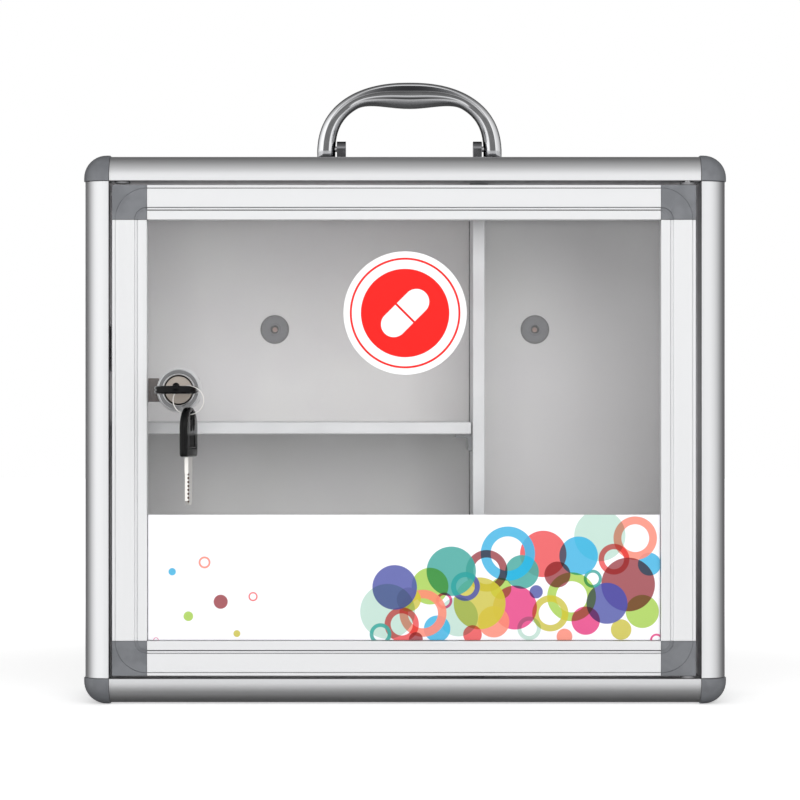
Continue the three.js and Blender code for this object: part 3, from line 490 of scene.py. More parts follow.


# Tones of the case, of the painted shade on its rounded front edges and inside it, of the door and of the
# plated metals
CASE_TONE = (0.80, 0.805, 0.815, 1.0)
# Painted shade on the rounded front edges, darker on the side walls than on the top and bottom
PAINTED_EDGE_SHADE_TONES = {"x": (0.62, 0.62, 0.63, 1.0), "y": CASE_TONE, "z": (0.42, 0.42, 0.43, 1.0)}
SHADED_TONE = (0.42, 0.42, 0.43, 1.0)
DOOR_TONE = (0.92, 0.925, 0.935, 1.0)
CHROME_TONE = (0.72, 0.725, 0.74, 1.0)
# Painted light: the handle's chrome is a lighter copy of the lock's chrome
HANDLE_TONE = (0.82, 0.825, 0.84, 1.0)
# Painted shade on the handle's chrome
HANDLE_SHADE_TONE = (0.03, 0.03, 0.033, 1.0)
# Painted shade: a darker copy of the chrome for the handle's brackets
BRACKET_SHADE_TONE = (0.2, 0.2, 0.21, 1.0)
NICKEL_TONE = (0.86, 0.84, 0.81, 1.0)
LENGTHWISE = {"x": 0, "y": 1, "z": 2}

# Thickness of the case's walls, and their lowest and highest corner on the outside
WALL_THICKNESS = 13.3
cad_walls = [node_box("wall_left")[0], node_box("wall_right")[1]]
cad_walls[0].z, cad_walls[1].z = node_box("wall_bottom")[0].z, node_box("wall_top")[1].z

# Finish of each slot, and the finishes that differ from their slot's
case_metal, door_metal = {}, {}
for axis, number in LENGTHWISE.items():
    case_metal[axis] = case_aluminium(axis)
    door_metal[axis] = satin_aluminium(f"door_aluminium_{axis}", DOOR_TONE, number).material
chrome = bright_metal("polished_chrome", CHROME_TONE, 0.1, 1.0, patch=4.0, spread=0.03)
# Painted shade: the brackets' chrome is a darker copy of the polished chrome
bracket_chrome_painted_shade = bright_metal("shaded_bracket_chrome", BRACKET_SHADE_TONE, 0.17, 1.0, patch=4.0, spread=0.05)
key_nickel = bright_metal("key_nickel", NICKEL_TONE, 0.35, 0.6, patch=1.5, spread=0.07)
# Darker brown nickel in the blade's dimples
dimple_brown = bright_metal("dimple_brown_nickel", colour(92, 70, 62), 0.5, 0.6, patch=0.6, spread=0.08)
steel = zinc_steel()
key_black = key_plastic()
shade_black = matt("shade_black", colour(4, 4, 5), 0.8)
finish_of_slot = {
    "corner_plastic": moulded_plastic(),
    "board": laminate_board(),
    "back_sheet": coated_sheet(),
    "seal_rubber": matt("black_rubber", colour(38, 38, 40), 0.65),
    "glass": clear_pane(),
    "nylon": white_nylon(),
    "steel": steel,
    "bronzed_steel": bronzed_steel(),
    "chrome": chrome,
    "key_plastic": key_black,
}


# Making pieces
def object_from(shape, name, material, sharp=SHARP_ANGLE):
    """A smooth-shaded object from a bmesh, whose corners past the sharp angle stay sharp."""
    bmesh.ops.recalc_face_normals(shape, faces=shape.faces)
    mesh = bpy.data.meshes.new(name)
    shape.to_mesh(mesh)
    shape.free()
    mesh.materials.append(material)
    mesh.shade_smooth()
    mesh.set_sharp_from_angle(angle=sharp)
    piece = bpy.data.objects.new(name, mesh)
    bpy.context.scene.collection.objects.link(piece)
    return piece


def stands_for(piece, node):
    """The piece rides with the node's body and is shown in the node's place."""
    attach(piece, body_of_node[node])
    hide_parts(node)
    return piece


def joined_mesh(node):
    """A node's mesh with shared corners and whole flat faces."""
    shape = bmesh.new()
    shape.from_mesh(frame["nodes"][node].data)
    bmesh.ops.remove_doubles(shape, verts=shape.verts, dist=WELD)
    bmesh.ops.dissolve_limit(shape, angle_limit=FLAT_ANGLE, verts=shape.verts, edges=shape.edges)
    return shape


# Soft edges: their steps, and their widths by the start of the node's name, where the longest start counts
BEVEL_STEPS = 2
EDGE_WIDTHS = {
    "wall": 0.3,
    "corner_post": 0.4,
    "back_panel": 0.3,
    "divider": 0.5,
    "divider_channel": 0.2,
    "divider_seal": 0.2,
    "shelf": 0.7,
    "shelf_support": 0.3,
    "door": 0.1,
    "door_corner": 0.12,
    "door_pad": 0.3,
    "door_glass": 0.3,
    "hinge_pin": 0.3,
    "hinge_washer": 0.2,
    "glazing_gasket": 0.2,
    "printed_label": 0.05,
    "round_sticker": 0.05,
    "lock": 0.3,
    "lock_plug": 0.25,
    "lock_washer": 0.2,
    "lock_nut": 0.5,
    "key_blade": 0.12,
    "spare_key_blade": 0.12,
    "handle_bracket": 0.35,
    "handle_pivot_pin": 0.3,
}


def soften(piece, node):
    """Rounds the edges by the node's width, or less where short edges clamp it, and keeps flat faces flat."""
    kind = max((start for start in EDGE_WIDTHS if node.startswith(start)), key=len)
    bevel = piece.modifiers.new("edges", "BEVEL")
    bevel.width = EDGE_WIDTHS[kind] * MM
    bevel.segments = BEVEL_STEPS
    bevel.limit_method = "ANGLE"
    bevel.angle_limit = SHARP_ANGLE
    bevel.use_clamp_overlap = True
    normals = piece.modifiers.new("normals", "WEIGHTED_NORMAL")
    normals.keep_sharp = True


def dressed(node, material=None, cutters=(), cut_finish=None):
    """The node's own shape with soft edges, cut by any cutters, in its place."""
    piece = object_from(joined_mesh(node), f"{node}_form", material or finish_of_slot[slot_of_node[node]])
    if cutters:
        carve(piece, cutters, cut_finish)
    soften(piece, node)
    return stands_for(piece, node)


def carve(piece, cutters, cut_finish=None):
    """Cuts the cutter bmeshes out of the piece's mesh; the cut faces may have a finish of their own."""
    for cutter in cutters:
        tool = object_from(cutter, "cutter", cut_finish or piece.data.materials[0])
        modifier = piece.modifiers.new("cut", "BOOLEAN")
        modifier.operation = "DIFFERENCE"
        modifier.solver = "EXACT"
        modifier.material_mode = "TRANSFER"
        modifier.object = tool
        bpy.context.view_layer.update()
        graph = bpy.context.evaluated_depsgraph_get()
        mesh = bpy.data.meshes.new_from_object(piece.evaluated_get(graph))
        piece.modifiers.clear()
        piece.data = mesh
        bpy.data.objects.remove(tool)
    piece.data.shade_smooth()
    piece.data.set_sharp_from_angle(angle=SHARP_ANGLE)


def moved(shape, matrix):
    """The shape turned and moved by a matrix whose lengths are in millimetres, and scaled to metres."""
    bmesh.ops.transform(shape, matrix=Matrix.Scale(MM, 4) @ matrix, verts=shape.verts)
    return shape


def turned(profile, steps=RING_STEPS, closed=False):
    """Body of revolution about Y from points of radius and place along Y, in millimetres."""
    shape = bmesh.new()
    corners = [shape.verts.new((radius, along, 0)) for radius, along in profile]
    lines = [shape.edges.new(pair) for pair in zip(corners, corners[1:])]
    if closed:
        lines.append(shape.edges.new((corners[-1], corners[0])))
    bmesh.ops.spin(
        shape,
        geom=[*corners, *lines],
        cent=(0, 0, 0),
        axis=(0, 1, 0),
        angle=FULL_TURN,
        steps=steps,
        use_merge=True,
    )
    bmesh.ops.remove_doubles(shape, verts=shape.verts, dist=WELD * PER_METRE)
    return shape


def square_ring(inner, outer, front, back):
    """Ring about Y with a square section, between two radii and two places along Y in millimetres."""
    return turned([(inner, front), (outer, front), (outer, back), (inner, back)], closed=True)


def slab(low, high):
    """Box between two corners in millimetres."""
    shape = bmesh.new()
    size = [b - a for a, b in zip(low, high)]
    middle = [(a + b) / 2 for a, b in zip(low, high)]
    matrix = Matrix.Translation(middle) @ Matrix.Diagonal((*size, 1))
    bmesh.ops.create_cube(shape, size=1, matrix=matrix)
    return shape


def ball(radius, centre):
    """Ball about a centre in millimetres."""
    shape = bmesh.new()
    bmesh.ops.create_icosphere(shape, subdivisions=3, radius=radius, matrix=Matrix.Translation(centre))
    return shape


# Screws: lengths as shares of the head's radius
HEAD_HEIGHT_SHARE = 0.58
SHANK_SHARE = 0.5
RECESS_SPAN_SHARE = 0.55
RECESS_HALF_SHARE = 0.11

# Lengths as shares of the head's height
CROWN_SHARE = 0.45
RECESS_DEPTH_SHARE = 0.6
CROWN_STEPS = 6


def screw(node, direction):
    """Pan-head screw with a cross recess, made with its head to -Y and then turned to that direction."""
    centre = node_centre(node)
    size = node_size(node)
    axis = max(range(3), key=lambda n: abs(direction[n]))
    head = min(size[n] for n in range(3) if n != axis) / 2
    height = HEAD_HEIGHT_SHARE * head
    shank = SHANK_SHARE * head
    crown = CROWN_SHARE * height
    front = -size[axis] / 2
    profile = [(0, front)]
    for step in range(CROWN_STEPS + 1):
        angle = QUARTER_TURN * step / CROWN_STEPS
        radius = head - crown * (1 - math.sin(angle))
        profile.append((radius, front + crown * (1 - math.cos(angle))))
    profile += [(head, front + height), (shank, front + height), (shank, -front - shank), (0, -front)]
    piece = object_from(moved(turned(profile, SCREW_STEPS), Matrix()), f"{node}_form", steel)
    span = RECESS_SPAN_SHARE * head
    half = RECESS_HALF_SHARE * head
    past, depth = front - OVERRUN, front + RECESS_DEPTH_SHARE * height
    level_bar = slab((-span, past, -half), (span, depth, half))
    upright_bar = slab((-half, past, -span), (half, depth, span))
    carve(piece, [moved(bar, Matrix()) for bar in (level_bar, upright_bar)])
    turn = Vector((0, -1, 0)).rotation_difference(Vector(direction)).to_matrix().to_4x4()
    piece.data.transform(Matrix.Translation(centre * MM) @ turn)
    stands_for(piece, node)


def screws():
    for level in ("bottom", "top"):
        for side in ("left", "right"):
            screw(f"back_screw_{level}_{side}", (0, 1, 0))
    for level in ("lower", "upper"):
        screw(f"keeper_screw_{level}", (1, 0, 0))
    for side in ("left", "right"):
        screw(f"bracket_screw_{side}", (0, 0, -1))
    screw("cam_screw", (0, 1, 0))


# Case, back and inside
def case():
    for node, axis in [("wall_bottom", "x"), ("wall_top", "x"), ("wall_left", "z"), ("wall_right", "z")]:
        dressed(node, case_metal[axis])
    for level in ("bottom", "top"):
        for side in ("left", "right"):
            dressed(f"corner_post_{level}_{side}")
        dressed(f"divider_channel_{level}", case_metal["y"])
    for node in ("back_panel", "divider", "shelf", "divider_seal"):
        dressed(node)
    for side in ("left", "right"):
        dressed(f"shelf_support_{side}")
        grommet(f"wall_grommet_{side}")


# Grommet: radii of its bore, its raised collar and its neck, and thickness of the skin in the bore
GROMMET_BORE = 2.1
GROMMET_COLLAR = 3.1
GROMMET_NECK = 5.0
GROMMET_SKIN = 0.5

# Its front face out to the flange's edge: how far inside the edge, and how far behind the collar's face
GROMMET_FACE = [(1.2, 0.35), (0.7, 0.43), (0.2, 0.8), (0.0, 1.5)]

# Its rear flange: how far inside the edge, and how far in front of the rear
GROMMET_REAR = [(0.75, 1.5), (0.85, 0.4), (1.3, 0.0)]


def grommet_rubber(centre):
    """Grey rubber with painted shade almost black round the bore, and painted light on the thin skin inside
    it: pale brown, as if a lit backdrop showed through.
    """
    surface = Surface("grommet_rubber", colour(105, 105, 108), 0.6)
    skin_outer_share, skin_inner_share = 0.8, 0.55
    rim_inner_share, rim_outer_share = 2.9, 3.7
    dark_width, dark_fade = 0.1, 0.3
    x, _, z = surface.axes()
    distance = ((x - centre.x) ** 2 + (z - centre.z) ** 2).root()
    rim = distance.ramp(GROMMET_BORE * rim_inner_share, GROMMET_BORE * rim_outer_share)
    dark_edge = GROMMET_BORE + dark_width
    # Painted shade: almost black round the mouth of the bore
    bore_shade_mask = distance.ramp(dark_edge + dark_fade, dark_edge)
    skin = distance.ramp(GROMMET_BORE * skin_outer_share, GROMMET_BORE * skin_inner_share)
    paint = surface.mix(rim, colour(108, 108, 112), colour(96, 96, 97))
    paint = surface.mix(bore_shade_mask, paint, colour(40, 34, 33))
    # Painted light: the skin is pale brown, as if a lit backdrop showed through the bore
    surface.set("Base Color", surface.mix(skin, paint, colour(214, 178, 166)))
    surface.uneven(length=0.8, low=0.5, high=0.66)
    surface.grained(length=0.25, depth=0.02, strength=0.5)
    return surface.material


def grommet(node):
    """Rubber ring in the back panel: a flange in front and behind, a raised collar and a skin in its bore."""
    low, high = node_box(node)
    centre = (low + high) / 2
    reach = (high.x - low.x) / 2
    back = (high.y - low.y) / 2
    front = -back
    bore_round, collar_slope, collar_rise = 0.3, 0.4, 0.35
    skin = back - GROMMET_SKIN
    profile = [(0, skin), (GROMMET_BORE, skin), (GROMMET_BORE, front + collar_rise)]
    profile += [(GROMMET_BORE + bore_round, front), (GROMMET_COLLAR, front)]
    profile.append((GROMMET_COLLAR + collar_slope, front + collar_rise))
    profile += [(reach - inside, front + behind) for inside, behind in GROMMET_FACE]
    profile += [(GROMMET_NECK, front + GROMMET_FACE[-1][1]), (GROMMET_NECK, back - GROMMET_REAR[0][1])]
    profile += [(reach - inside, back - before) for inside, before in GROMMET_REAR]
    profile.append((0, back))
    shape = moved(turned(profile), Matrix.Translation(centre))
    stands_for(object_from(shape, f"{node}_form", grommet_rubber(centre)), node)


# Door: each fine line sunk in the frame's face goes from and to a distance to the frame's outer edge, and has
# one depth in the rails and another in the corner plates
DOOR_LINES = [
    (1.5, 1.85, 1.1, 0.5),
    (11.7, 12.0, 1.3, 0.5),
    (13.05, 13.55, 1.9, 0.9),
]
door_low = node_box("door_corner_bottom_left")[0]
door_high = node_box("door_corner_top_right")[1]
rail_width = node_size("door_top_rail").z


def rail_lines(across, side):
    """Slots along a rail; across is 0 for an upright and 2 for a level one, and side is -1 at the low end."""
    along = 2 - across
    cutters = []
    for start, end, depth, _ in DOOR_LINES:
        edge = door_low[across] if side < 0 else door_high[across]
        low, high = Vector(), Vector()
        low[across], high[across] = sorted((edge - side * start, edge - side * end))
        low[along], high[along] = door_low[along], door_high[along]
        low.y, high.y = door_low.y - OVERRUN, door_low.y + depth
        cutters.append(moved(slab(low, high), Matrix()))
    return cutters


def corner_lines(side, end):
    """The same slots turned about the glass corner."""
    centre_x = (door_low if side < 0 else door_high).x - side * rail_width
    centre_z = (door_low if end < 0 else door_high).z - end * rail_width
    corner = Matrix.Translation((centre_x, door_low.y, centre_z))
    cutters = []
    for start, stop, _, depth in DOOR_LINES:
        cutters.append(moved(square_ring(rail_width - stop, rail_width - start, -OVERRUN, depth), corner))
    return cutters


def door():
    washer_grey = matt("washer_grey", colour(128, 128, 130), 0.5)
    # Painted shade in the fine grooves of the top and bottom rails
    painted_groove_shade = matt("painted_groove_shade", colour(128, 128, 130), 0.6)
    # The top and bottom rails' grooves get the painted shade
    for side, rail in [(-1, "bottom_rail"), (1, "top_rail")]:
        dressed(f"door_{rail}", door_metal["x"], rail_lines(2, side), painted_groove_shade)
    for side, stile in [(-1, "lock_stile"), (1, "hinge_stile")]:
        dressed(f"door_{stile}", door_metal["z"], rail_lines(0, side))
    for end, level in [(-1, "bottom"), (1, "top")]:
        for side, word in [(-1, "left"), (1, "right")]:
            dressed(f"door_corner_{level}_{word}", cutters=corner_lines(side, end))
        dressed(f"hinge_pin_{level}")
        dressed(f"hinge_washer_{level}", washer_grey)
    dressed("door_pad", matt("grey_rubber", colour(118, 118, 120), 0.5))
    dressed("door_glass")
    dressed("glazing_gasket")
    dressed("printed_label", printed_film())
    sticker = dressed("round_sticker", sticker_film())
    sticker.visible_shadow = False


# Lock's barrel: its radii, and how far its seat is behind the front and its thread behind the seat
BARREL_RADIUS = 9.3
BARREL_BORE = 7.35
BARREL_SEAT = 2.85
BARREL_PLAIN = 4.2
BARREL_CHAMFER = 0.3
THREAD_PITCH = 0.8
THREAD_DEPTH = 0.3

# Gap round the plug, its faces painted shade black, whose cutter reaches a little into the bore
GAP_RADIUS = 7.9
GAP_DEPTH = 2.2
GAP_OVERLAP = 0.05

# Bead round the gap, and the fine groove round the bead
BEAD_RADIUS = 0.44
BEAD_HEIGHT = 0.34
BEAD_FOOT = 0.36
BEAD_CLEARANCE = 0.02
BEAD_GROOVE = 0.04
BEAD_STEPS = 8

# Rounded edge of the bezel: how far inside the rim, and how far behind the front
BEZEL_EDGE = [(0.42, 0.0), (0.35, 0.0), (0.18, 0.08), (0.05, 0.2), (0.0, 0.4)]

# Round keyhole mark in the plug's face, painted shade black: its radius, and its centre from the middle of
# the face
KEYHOLE_RADIUS = 2.2
KEYHOLE_PLACE = Vector((-1.4, -0.9, 1.9))


def housing_profile(reach, front, back):
    """The lock's housing from its bore over the bead, the bezel and the thread to its rear."""
    foot, seat = front + BEAD_FOOT, front + BARREL_SEAT
    middle = GAP_RADIUS + BEAD_RADIUS + BEAD_CLEARANCE
    profile = [(BARREL_BORE, foot)]
    for step in range(BEAD_STEPS + 1):
        angle = math.pi * step / BEAD_STEPS
        profile.append((middle - BEAD_RADIUS * math.cos(angle), foot - BEAD_HEIGHT * math.sin(angle)))
    groove = middle + BEAD_RADIUS + BEAD_GROOVE
    profile += [(groove, foot), (groove + BEAD_GROOVE, front)]
    profile += [(reach - inside, front + behind) for inside, behind in BEZEL_EDGE]
    profile += [(reach, seat), (BARREL_RADIUS, seat)]
    along = seat + BARREL_PLAIN
    while along + THREAD_PITCH < back:
        profile += [(BARREL_RADIUS, along), (BARREL_RADIUS - THREAD_DEPTH, along + THREAD_PITCH / 2)]
        along += THREAD_PITCH
    profile += [(BARREL_RADIUS, along), (BARREL_RADIUS, back - BARREL_CHAMFER)]
    return [*profile, (BARREL_RADIUS - BARREL_CHAMFER, back), (BARREL_BORE, back)]


def lock():
    low, high = node_box("lock_body")
    centre = (low + high) / 2
    reach = (high.x - low.x) / 2
    front, back = low.y - centre.y, high.y - centre.y
    in_door = Matrix.Translation(centre)
    housing = moved(turned(housing_profile(reach, front, back), closed=True), in_door)
    housing = object_from(housing, "lock_body_form", chrome)
    gap = square_ring(BARREL_BORE - GAP_OVERLAP, GAP_RADIUS, front - OVERRUN, front + GAP_DEPTH)
    carve(housing, [moved(gap, in_door)], shade_black)
    stands_for(housing, "lock_body")
    plug_face = Vector((centre.x, node_box("lock_plug")[0].y, centre.z))
    keyhole = ball(KEYHOLE_RADIUS, plug_face + KEYHOLE_PLACE)
    dressed("lock_plug", plug_nickel(), [moved(keyhole, Matrix())], shade_black)
    dressed("lock_washer", matt("pale_rubber", colour(216, 216, 217), 0.6))
    for node in ("lock_nut", "lock_cam", "lock_keeper"):
        dressed(node)


# Keys: drawn about the hole in the bow, for a key that hangs tip down with one face to -Y
BOW_HALF_THICKNESS = 2.1
BOW_HALF_WIDTH = 11.5
BOW_TOP = 4.3
BOW_LENGTH = 26.0
BOW_HOLE_RADIUS = 2.6
BOW_SHARP_ANGLE = math.radians(40)
BLADE_HALF_WIDTH = 3.7
BLADE_HALF_THICKNESS = 1.0
BLADE_COLLAR = 8.9
BLADE_LENGTH = 16.0
BLADE_TIP = BOW_TOP - BOW_LENGTH - BLADE_COLLAR - BLADE_LENGTH

# Rim of the bow from its mid plane out to a face: place through the thickness, and how far it is drawn in
BOW_RIM = [
    (0.34, 0.6),
    (0.42, 0.12),
    (0.6, 0.0),
    (1.0, 0.03),
    (1.4, 0.16),
    (1.75, 0.42),
    (2.0, 0.85),
    (2.1, 1.4),
]

# Fields sunk in each face of the bow, the last one a fine line: half width, lower end, upper end and depth
BOW_FIELDS = [
    (4.6, -5.6, 1.8, 0.7),
    (5.6, -16.4, -10.6, 0.45),
    (8.6, -17.7, -17.2, 0.4),
]

# Pocket for the blade in the foot of the bow
POCKET_HALF_WIDTH = 3.1
POCKET_HALF_THICKNESS = 1.1
POCKET_LENGTH = 10.1

# Two wells in each face, cut by balls whose centres are lifted out of the face
WELL_RADIUS = 2.3
WELL_LIFT = 0.7
WELL_ASIDE = 2.4
WELL_HEIGHT = -6.2

# Dimples along the blade, cut by balls in the same way
DIMPLE_RADIUS = 0.85
DIMPLE_LIFT = 0.1
DIMPLE_INSET = 0.35
DIMPLE_START = 1.6
DIMPLE_PITCH = 2.05
DIMPLE_COUNT = 8


def bow_blank():
    """Round-headed plate with a square foot, rounded edges and a groove round its rim."""
    head_z = BOW_TOP - BOW_HALF_WIDTH
    foot_reach = head_z - BOW_TOP + BOW_LENGTH
    head_roundness, foot_roundness = 2.1, 14
    shape = bmesh.new()
    rings = []
    for through, drawn_in in [(-y, inset) for y, inset in reversed(BOW_RIM)] + BOW_RIM:
        made = bmesh.ops.create_circle(shape, segments=RING_STEPS, radius=1)["verts"]
        reach = BOW_HALF_WIDTH - drawn_in
        for corner in made:
            angle = math.atan2(corner.co.y, corner.co.x)
            if angle < 0:
                point = arch_point(angle, reach, drawn_in / 2 - foot_reach, foot_roundness)
            else:
                point = arch_point(angle, reach, reach, head_roundness)
            corner.co = point + Vector((0, through, head_z))
        rings.append(made)
    return skinned(shape, rings)


def bow_cutters():
    """Ring hole, blade pocket, and on each face the sunk fields and two wells."""
    foot = BOW_TOP - BOW_LENGTH
    past = BOW_HALF_THICKNESS + OVERRUN
    hole = turned([(0, -past), (BOW_HOLE_RADIUS, -past), (BOW_HOLE_RADIUS, past), (0, past)])
    low = (-POCKET_HALF_WIDTH, -POCKET_HALF_THICKNESS, foot - OVERRUN)
    high = (POCKET_HALF_WIDTH, POCKET_HALF_THICKNESS, foot + POCKET_LENGTH)
    cutters = [hole, slab(low, high)]
    for face in (-1, 1):
        for half, low_z, high_z, sunk in BOW_FIELDS:
            near, far = sorted((face * (BOW_HALF_THICKNESS - sunk), face * past))
            cutters.append(slab((-half, near, low_z), (half, far, high_z)))
        for side in (-1, 1):
            place = (side * WELL_ASIDE, face * (BOW_HALF_THICKNESS + WELL_LIFT), WELL_HEIGHT)
            cutters.append(ball(WELL_RADIUS, place))
    return cutters


def key_bow(node, matrix):
    piece = object_from(moved(bow_blank(), matrix), f"{node}_form", key_black, BOW_SHARP_ANGLE)
    # The bow's hole, pocket, fields and wells are painted shade black
    carve(piece, [moved(cutter, matrix) for cutter in bow_cutters()], shade_black)
    stands_for(piece, node)


def blade_cutters(matrix):
    """Dimples along one edge of each face, so that the key works either way up."""
    cutters = []
    for face in (-1, 1):
        across = face * (BLADE_HALF_WIDTH - DIMPLE_INSET)
        through = face * (BLADE_HALF_THICKNESS + DIMPLE_LIFT)
        for step in range(DIMPLE_COUNT):
            up = BLADE_TIP + DIMPLE_START + DIMPLE_PITCH * step
            cutters.append(moved(ball(DIMPLE_RADIUS, (across, through, up)), matrix))
    return cutters


# How far the spare key hangs from its solid, as in the photograph, and its turn about its length
SPARE_SHIFT = Vector((0.9, 0.0, 0.75))
SPARE_TURN = math.radians(78)


def key_places():
    """Matrices that put a hanging key where the turned key and the spare key are, in millimetres."""
    blade = node_centre("key_blade")
    bow_front = node_box("key_bow")[0].y
    level = Matrix.Rotation(QUARTER_TURN, 4, "X")
    in_lock = Matrix.Translation((blade.x, bow_front + BOW_TOP, blade.z)) @ level
    spare = node_centre("spare_key_bow")
    spare.z = node_box("spare_key_bow")[1].z - BOW_TOP
    hanging = Matrix.Translation(spare + SPARE_SHIFT) @ Matrix.Rotation(SPARE_TURN, 4, "Z")
    return in_lock, hanging


def keys():
    in_lock, spare = key_places()
    for prefix, matrix, shift in [("", in_lock, Vector()), ("spare_", spare, SPARE_SHIFT)]:
        key_bow(f"{prefix}key_bow", matrix)
        cutters = blade_cutters(Matrix.Translation(-shift) @ matrix)
        blade = dressed(f"{prefix}key_blade", key_nickel, cutters, dimple_brown)
        blade.data.transform(Matrix.Translation(shift * MM))


# Split ring: it is a little lower than wide, and hangs this far from its solid, as in the photograph
RING_HEIGHT_SHARE = 0.94
RING_SHIFT = Vector((0.8, 0.0, -0.9))
RING_TURNS = 2
WIRE_STEPS = 10


def key_ring():
    """Split ring of two turns of wire, side by side."""
    low, high = node_box("key_ring")
    centre = (low + high) / 2
    thickness = high.y - low.y
    reach = (high.x - low.x) / 2 - thickness / 2
    steps = RING_STEPS * RING_TURNS
    wire_radius = thickness / (2 * RING_TURNS)
    shape = bmesh.new()
    start = Matrix.Translation((reach, -wire_radius, 0))
    bmesh.ops.create_circle(shape, cap_ends=True, segments=WIRE_STEPS, radius=wire_radius, matrix=start)
    bmesh.ops.spin(
        shape,
        geom=[*shape.verts, *shape.edges, *shape.faces],
        cent=(0, 0, 0),
        axis=(0, 1, 0),
        dvec=(0, 2 * wire_radius / steps, 0),
        angle=FULL_TURN * RING_TURNS,
        steps=steps,
        use_merge=False,
    )
    out_of_round = Matrix.Diagonal((1, 1, RING_HEIGHT_SHARE, 1))
    moved(shape, Matrix.Translation(centre + RING_SHIFT) @ out_of_round)
    stands_for(object_from(shape, "key_ring_form", key_nickel), "key_ring")


# Carry handle: half widths and heights in millimetres, the same as the solid's
ARCH_HALF_WIDTH = 50.1
ARCH_RISE = 39.1
ARCH_BASE = 4.0
ARCH_ROUNDNESS = 2.3
INNER_HALF_WIDTH = 40.2
INNER_RISE = 29.9
INNER_ROUNDNESS = 2.7
GRIP_SAG = 5.0
GRIP_SAG_HALF_WIDTH = 28.0
GRIP_SAG_POWER = 1.5
GRIP_WIDENING_POWER = 4
GRIP_DEPTH = 14.0
LEG_DEPTH = 9.2
FOOT_RADIUS = 4.6
FOOT_SQUARENESS = 0.4
PIVOT_HEIGHT = 7.0
ARCH_STEPS = 96
FOOT_STEPS = 10
HANDLE_SHARP_ANGLE = math.radians(75)

# Front of the section from its outer to its inner edge: place, depth and share of painted shade on the legs,
# then on the grip, all as shares
SECTION_SHARES = [
    (1.0, 0.2, 0.7, 1.0, 0.25, 0.3),
    (0.93, 0.42, 0.0, 0.96, 0.55, 0.0),
    (0.8, 0.62, 0.0, 0.88, 0.84, 0.0),
    (0.62, 0.8, 0.0, 0.8, 0.96, 0.0),
    (0.45, 0.94, 0.0, 0.72, 1.0, 0.1),
    (0.36, 1.0, 0.1, 0.68, 0.98, 0.95),
    (0.3, 1.0, 0.3, 0.36, 0.72, 0.96),
    (0.1, 0.985, 0.3, 0.29, 0.7, 0.7),
    (-0.15, 0.985, 0.3, 0.0, 0.72, 0.3),
    (-0.4, 1.0, 0.2, -0.2, 0.7, 0.7),
    (-0.48, 0.95, 0.0, -0.27, 0.86, 0.78),
    (-0.64, 0.78, 0.0, -0.42, 0.92, 0.45),
    (-0.74, 0.66, 0.2, -0.5, 0.9, 0.55),
    (-0.82, 0.55, 0.85, -0.72, 0.74, 0.6),
    (-0.93, 0.36, 0.9, -0.92, 0.42, 0.55),
    (-1.0, 0.15, 0.9, -1.0, 0.2, 0.9),
]


def arch_point(angle, half_width, rise, roundness):
    """Point of a round arch for a roundness of 2, and of a squarer one for more."""
    power = 2 / roundness
    across, up = math.cos(angle), abs(math.sin(angle))
    return Vector((math.copysign(half_width * abs(across) ** power, across), 0, rise * up ** power))


def skinned(shape, rings):
    """The shape with a skin over its rings of corners, closed at both ends."""
    loops = [list({edge for corner in ring for edge in corner.link_edges}) for ring in rings]
    for first, second in zip(loops, loops[1:]):
        bmesh.ops.bridge_loops(shape, edges=[*first, *second])
    for end in (loops[0], loops[-1]):
        bmesh.ops.edgeloop_fill(shape, edges=end)
    return shape


def handle_arch():
    """Outer point, inner point, depth and grip share of each section of the arch, about the pivot."""
    arch = []
    for step in range(ARCH_STEPS + 1):
        angle = math.pi * (1 - step / ARCH_STEPS)
        outer = arch_point(angle, ARCH_HALF_WIDTH, ARCH_RISE, ARCH_ROUNDNESS)
        inner = arch_point(angle, INNER_HALF_WIDTH, INNER_RISE, INNER_ROUNDNESS)
        share = min(abs(inner.x) / GRIP_SAG_HALF_WIDTH, 1)
        inner.z -= GRIP_SAG * (1 - share ** 2) ** GRIP_SAG_POWER
        for point in (outer, inner):
            point.z = max(point.z + ARCH_BASE - PIVOT_HEIGHT, 0)
        grip = math.sin(angle) ** GRIP_WIDENING_POWER
        arch.append((outer, inner, LEG_DEPTH + (GRIP_DEPTH - LEG_DEPTH) * grip, grip))
    return arch


def handle_foot(side):
    """The same for the rounded foot of a leg, from its tip up; side is -1 on the left and 1 on the right."""
    foot = []
    # The tip ends half a step short of a point
    steps_to_point = FOOT_STEPS + 0.5
    for step in range(FOOT_STEPS, 0, -1):
        angle = QUARTER_TURN * step / steps_to_point
        down = -FOOT_RADIUS * math.sin(angle)
        outer = Vector((side * ARCH_HALF_WIDTH, 0, down))
        inner = Vector((side * INNER_HALF_WIDTH, 0, down))
        foot.append((outer, inner, LEG_DEPTH * math.cos(angle) ** FOOT_SQUARENESS, 0.0))
    return foot


def handle_section(ring, painted_shade, outer, inner, depth, grip):
    """Moves a circle's corners onto a section: a rim, a sunk plate and a belly, in front and behind alike,
    each with its painted shade.
    """
    middle = (outer + inner) / 2
    reach = (outer - inner) / 2
    front = len(SECTION_SHARES)
    for index, corner in enumerate(ring):
        behind = index >= front
        shares = SECTION_SHARES[2 * front - 1 - index if behind else index]
        across, proud, dark = [leg + (held - leg) * grip for leg, held in zip(shares[:3], shares[3:])]
        corner[painted_shade] = dark
        corner.co = middle + reach * across + Vector((0, (proud if behind else -proud) * depth / 2, 0))


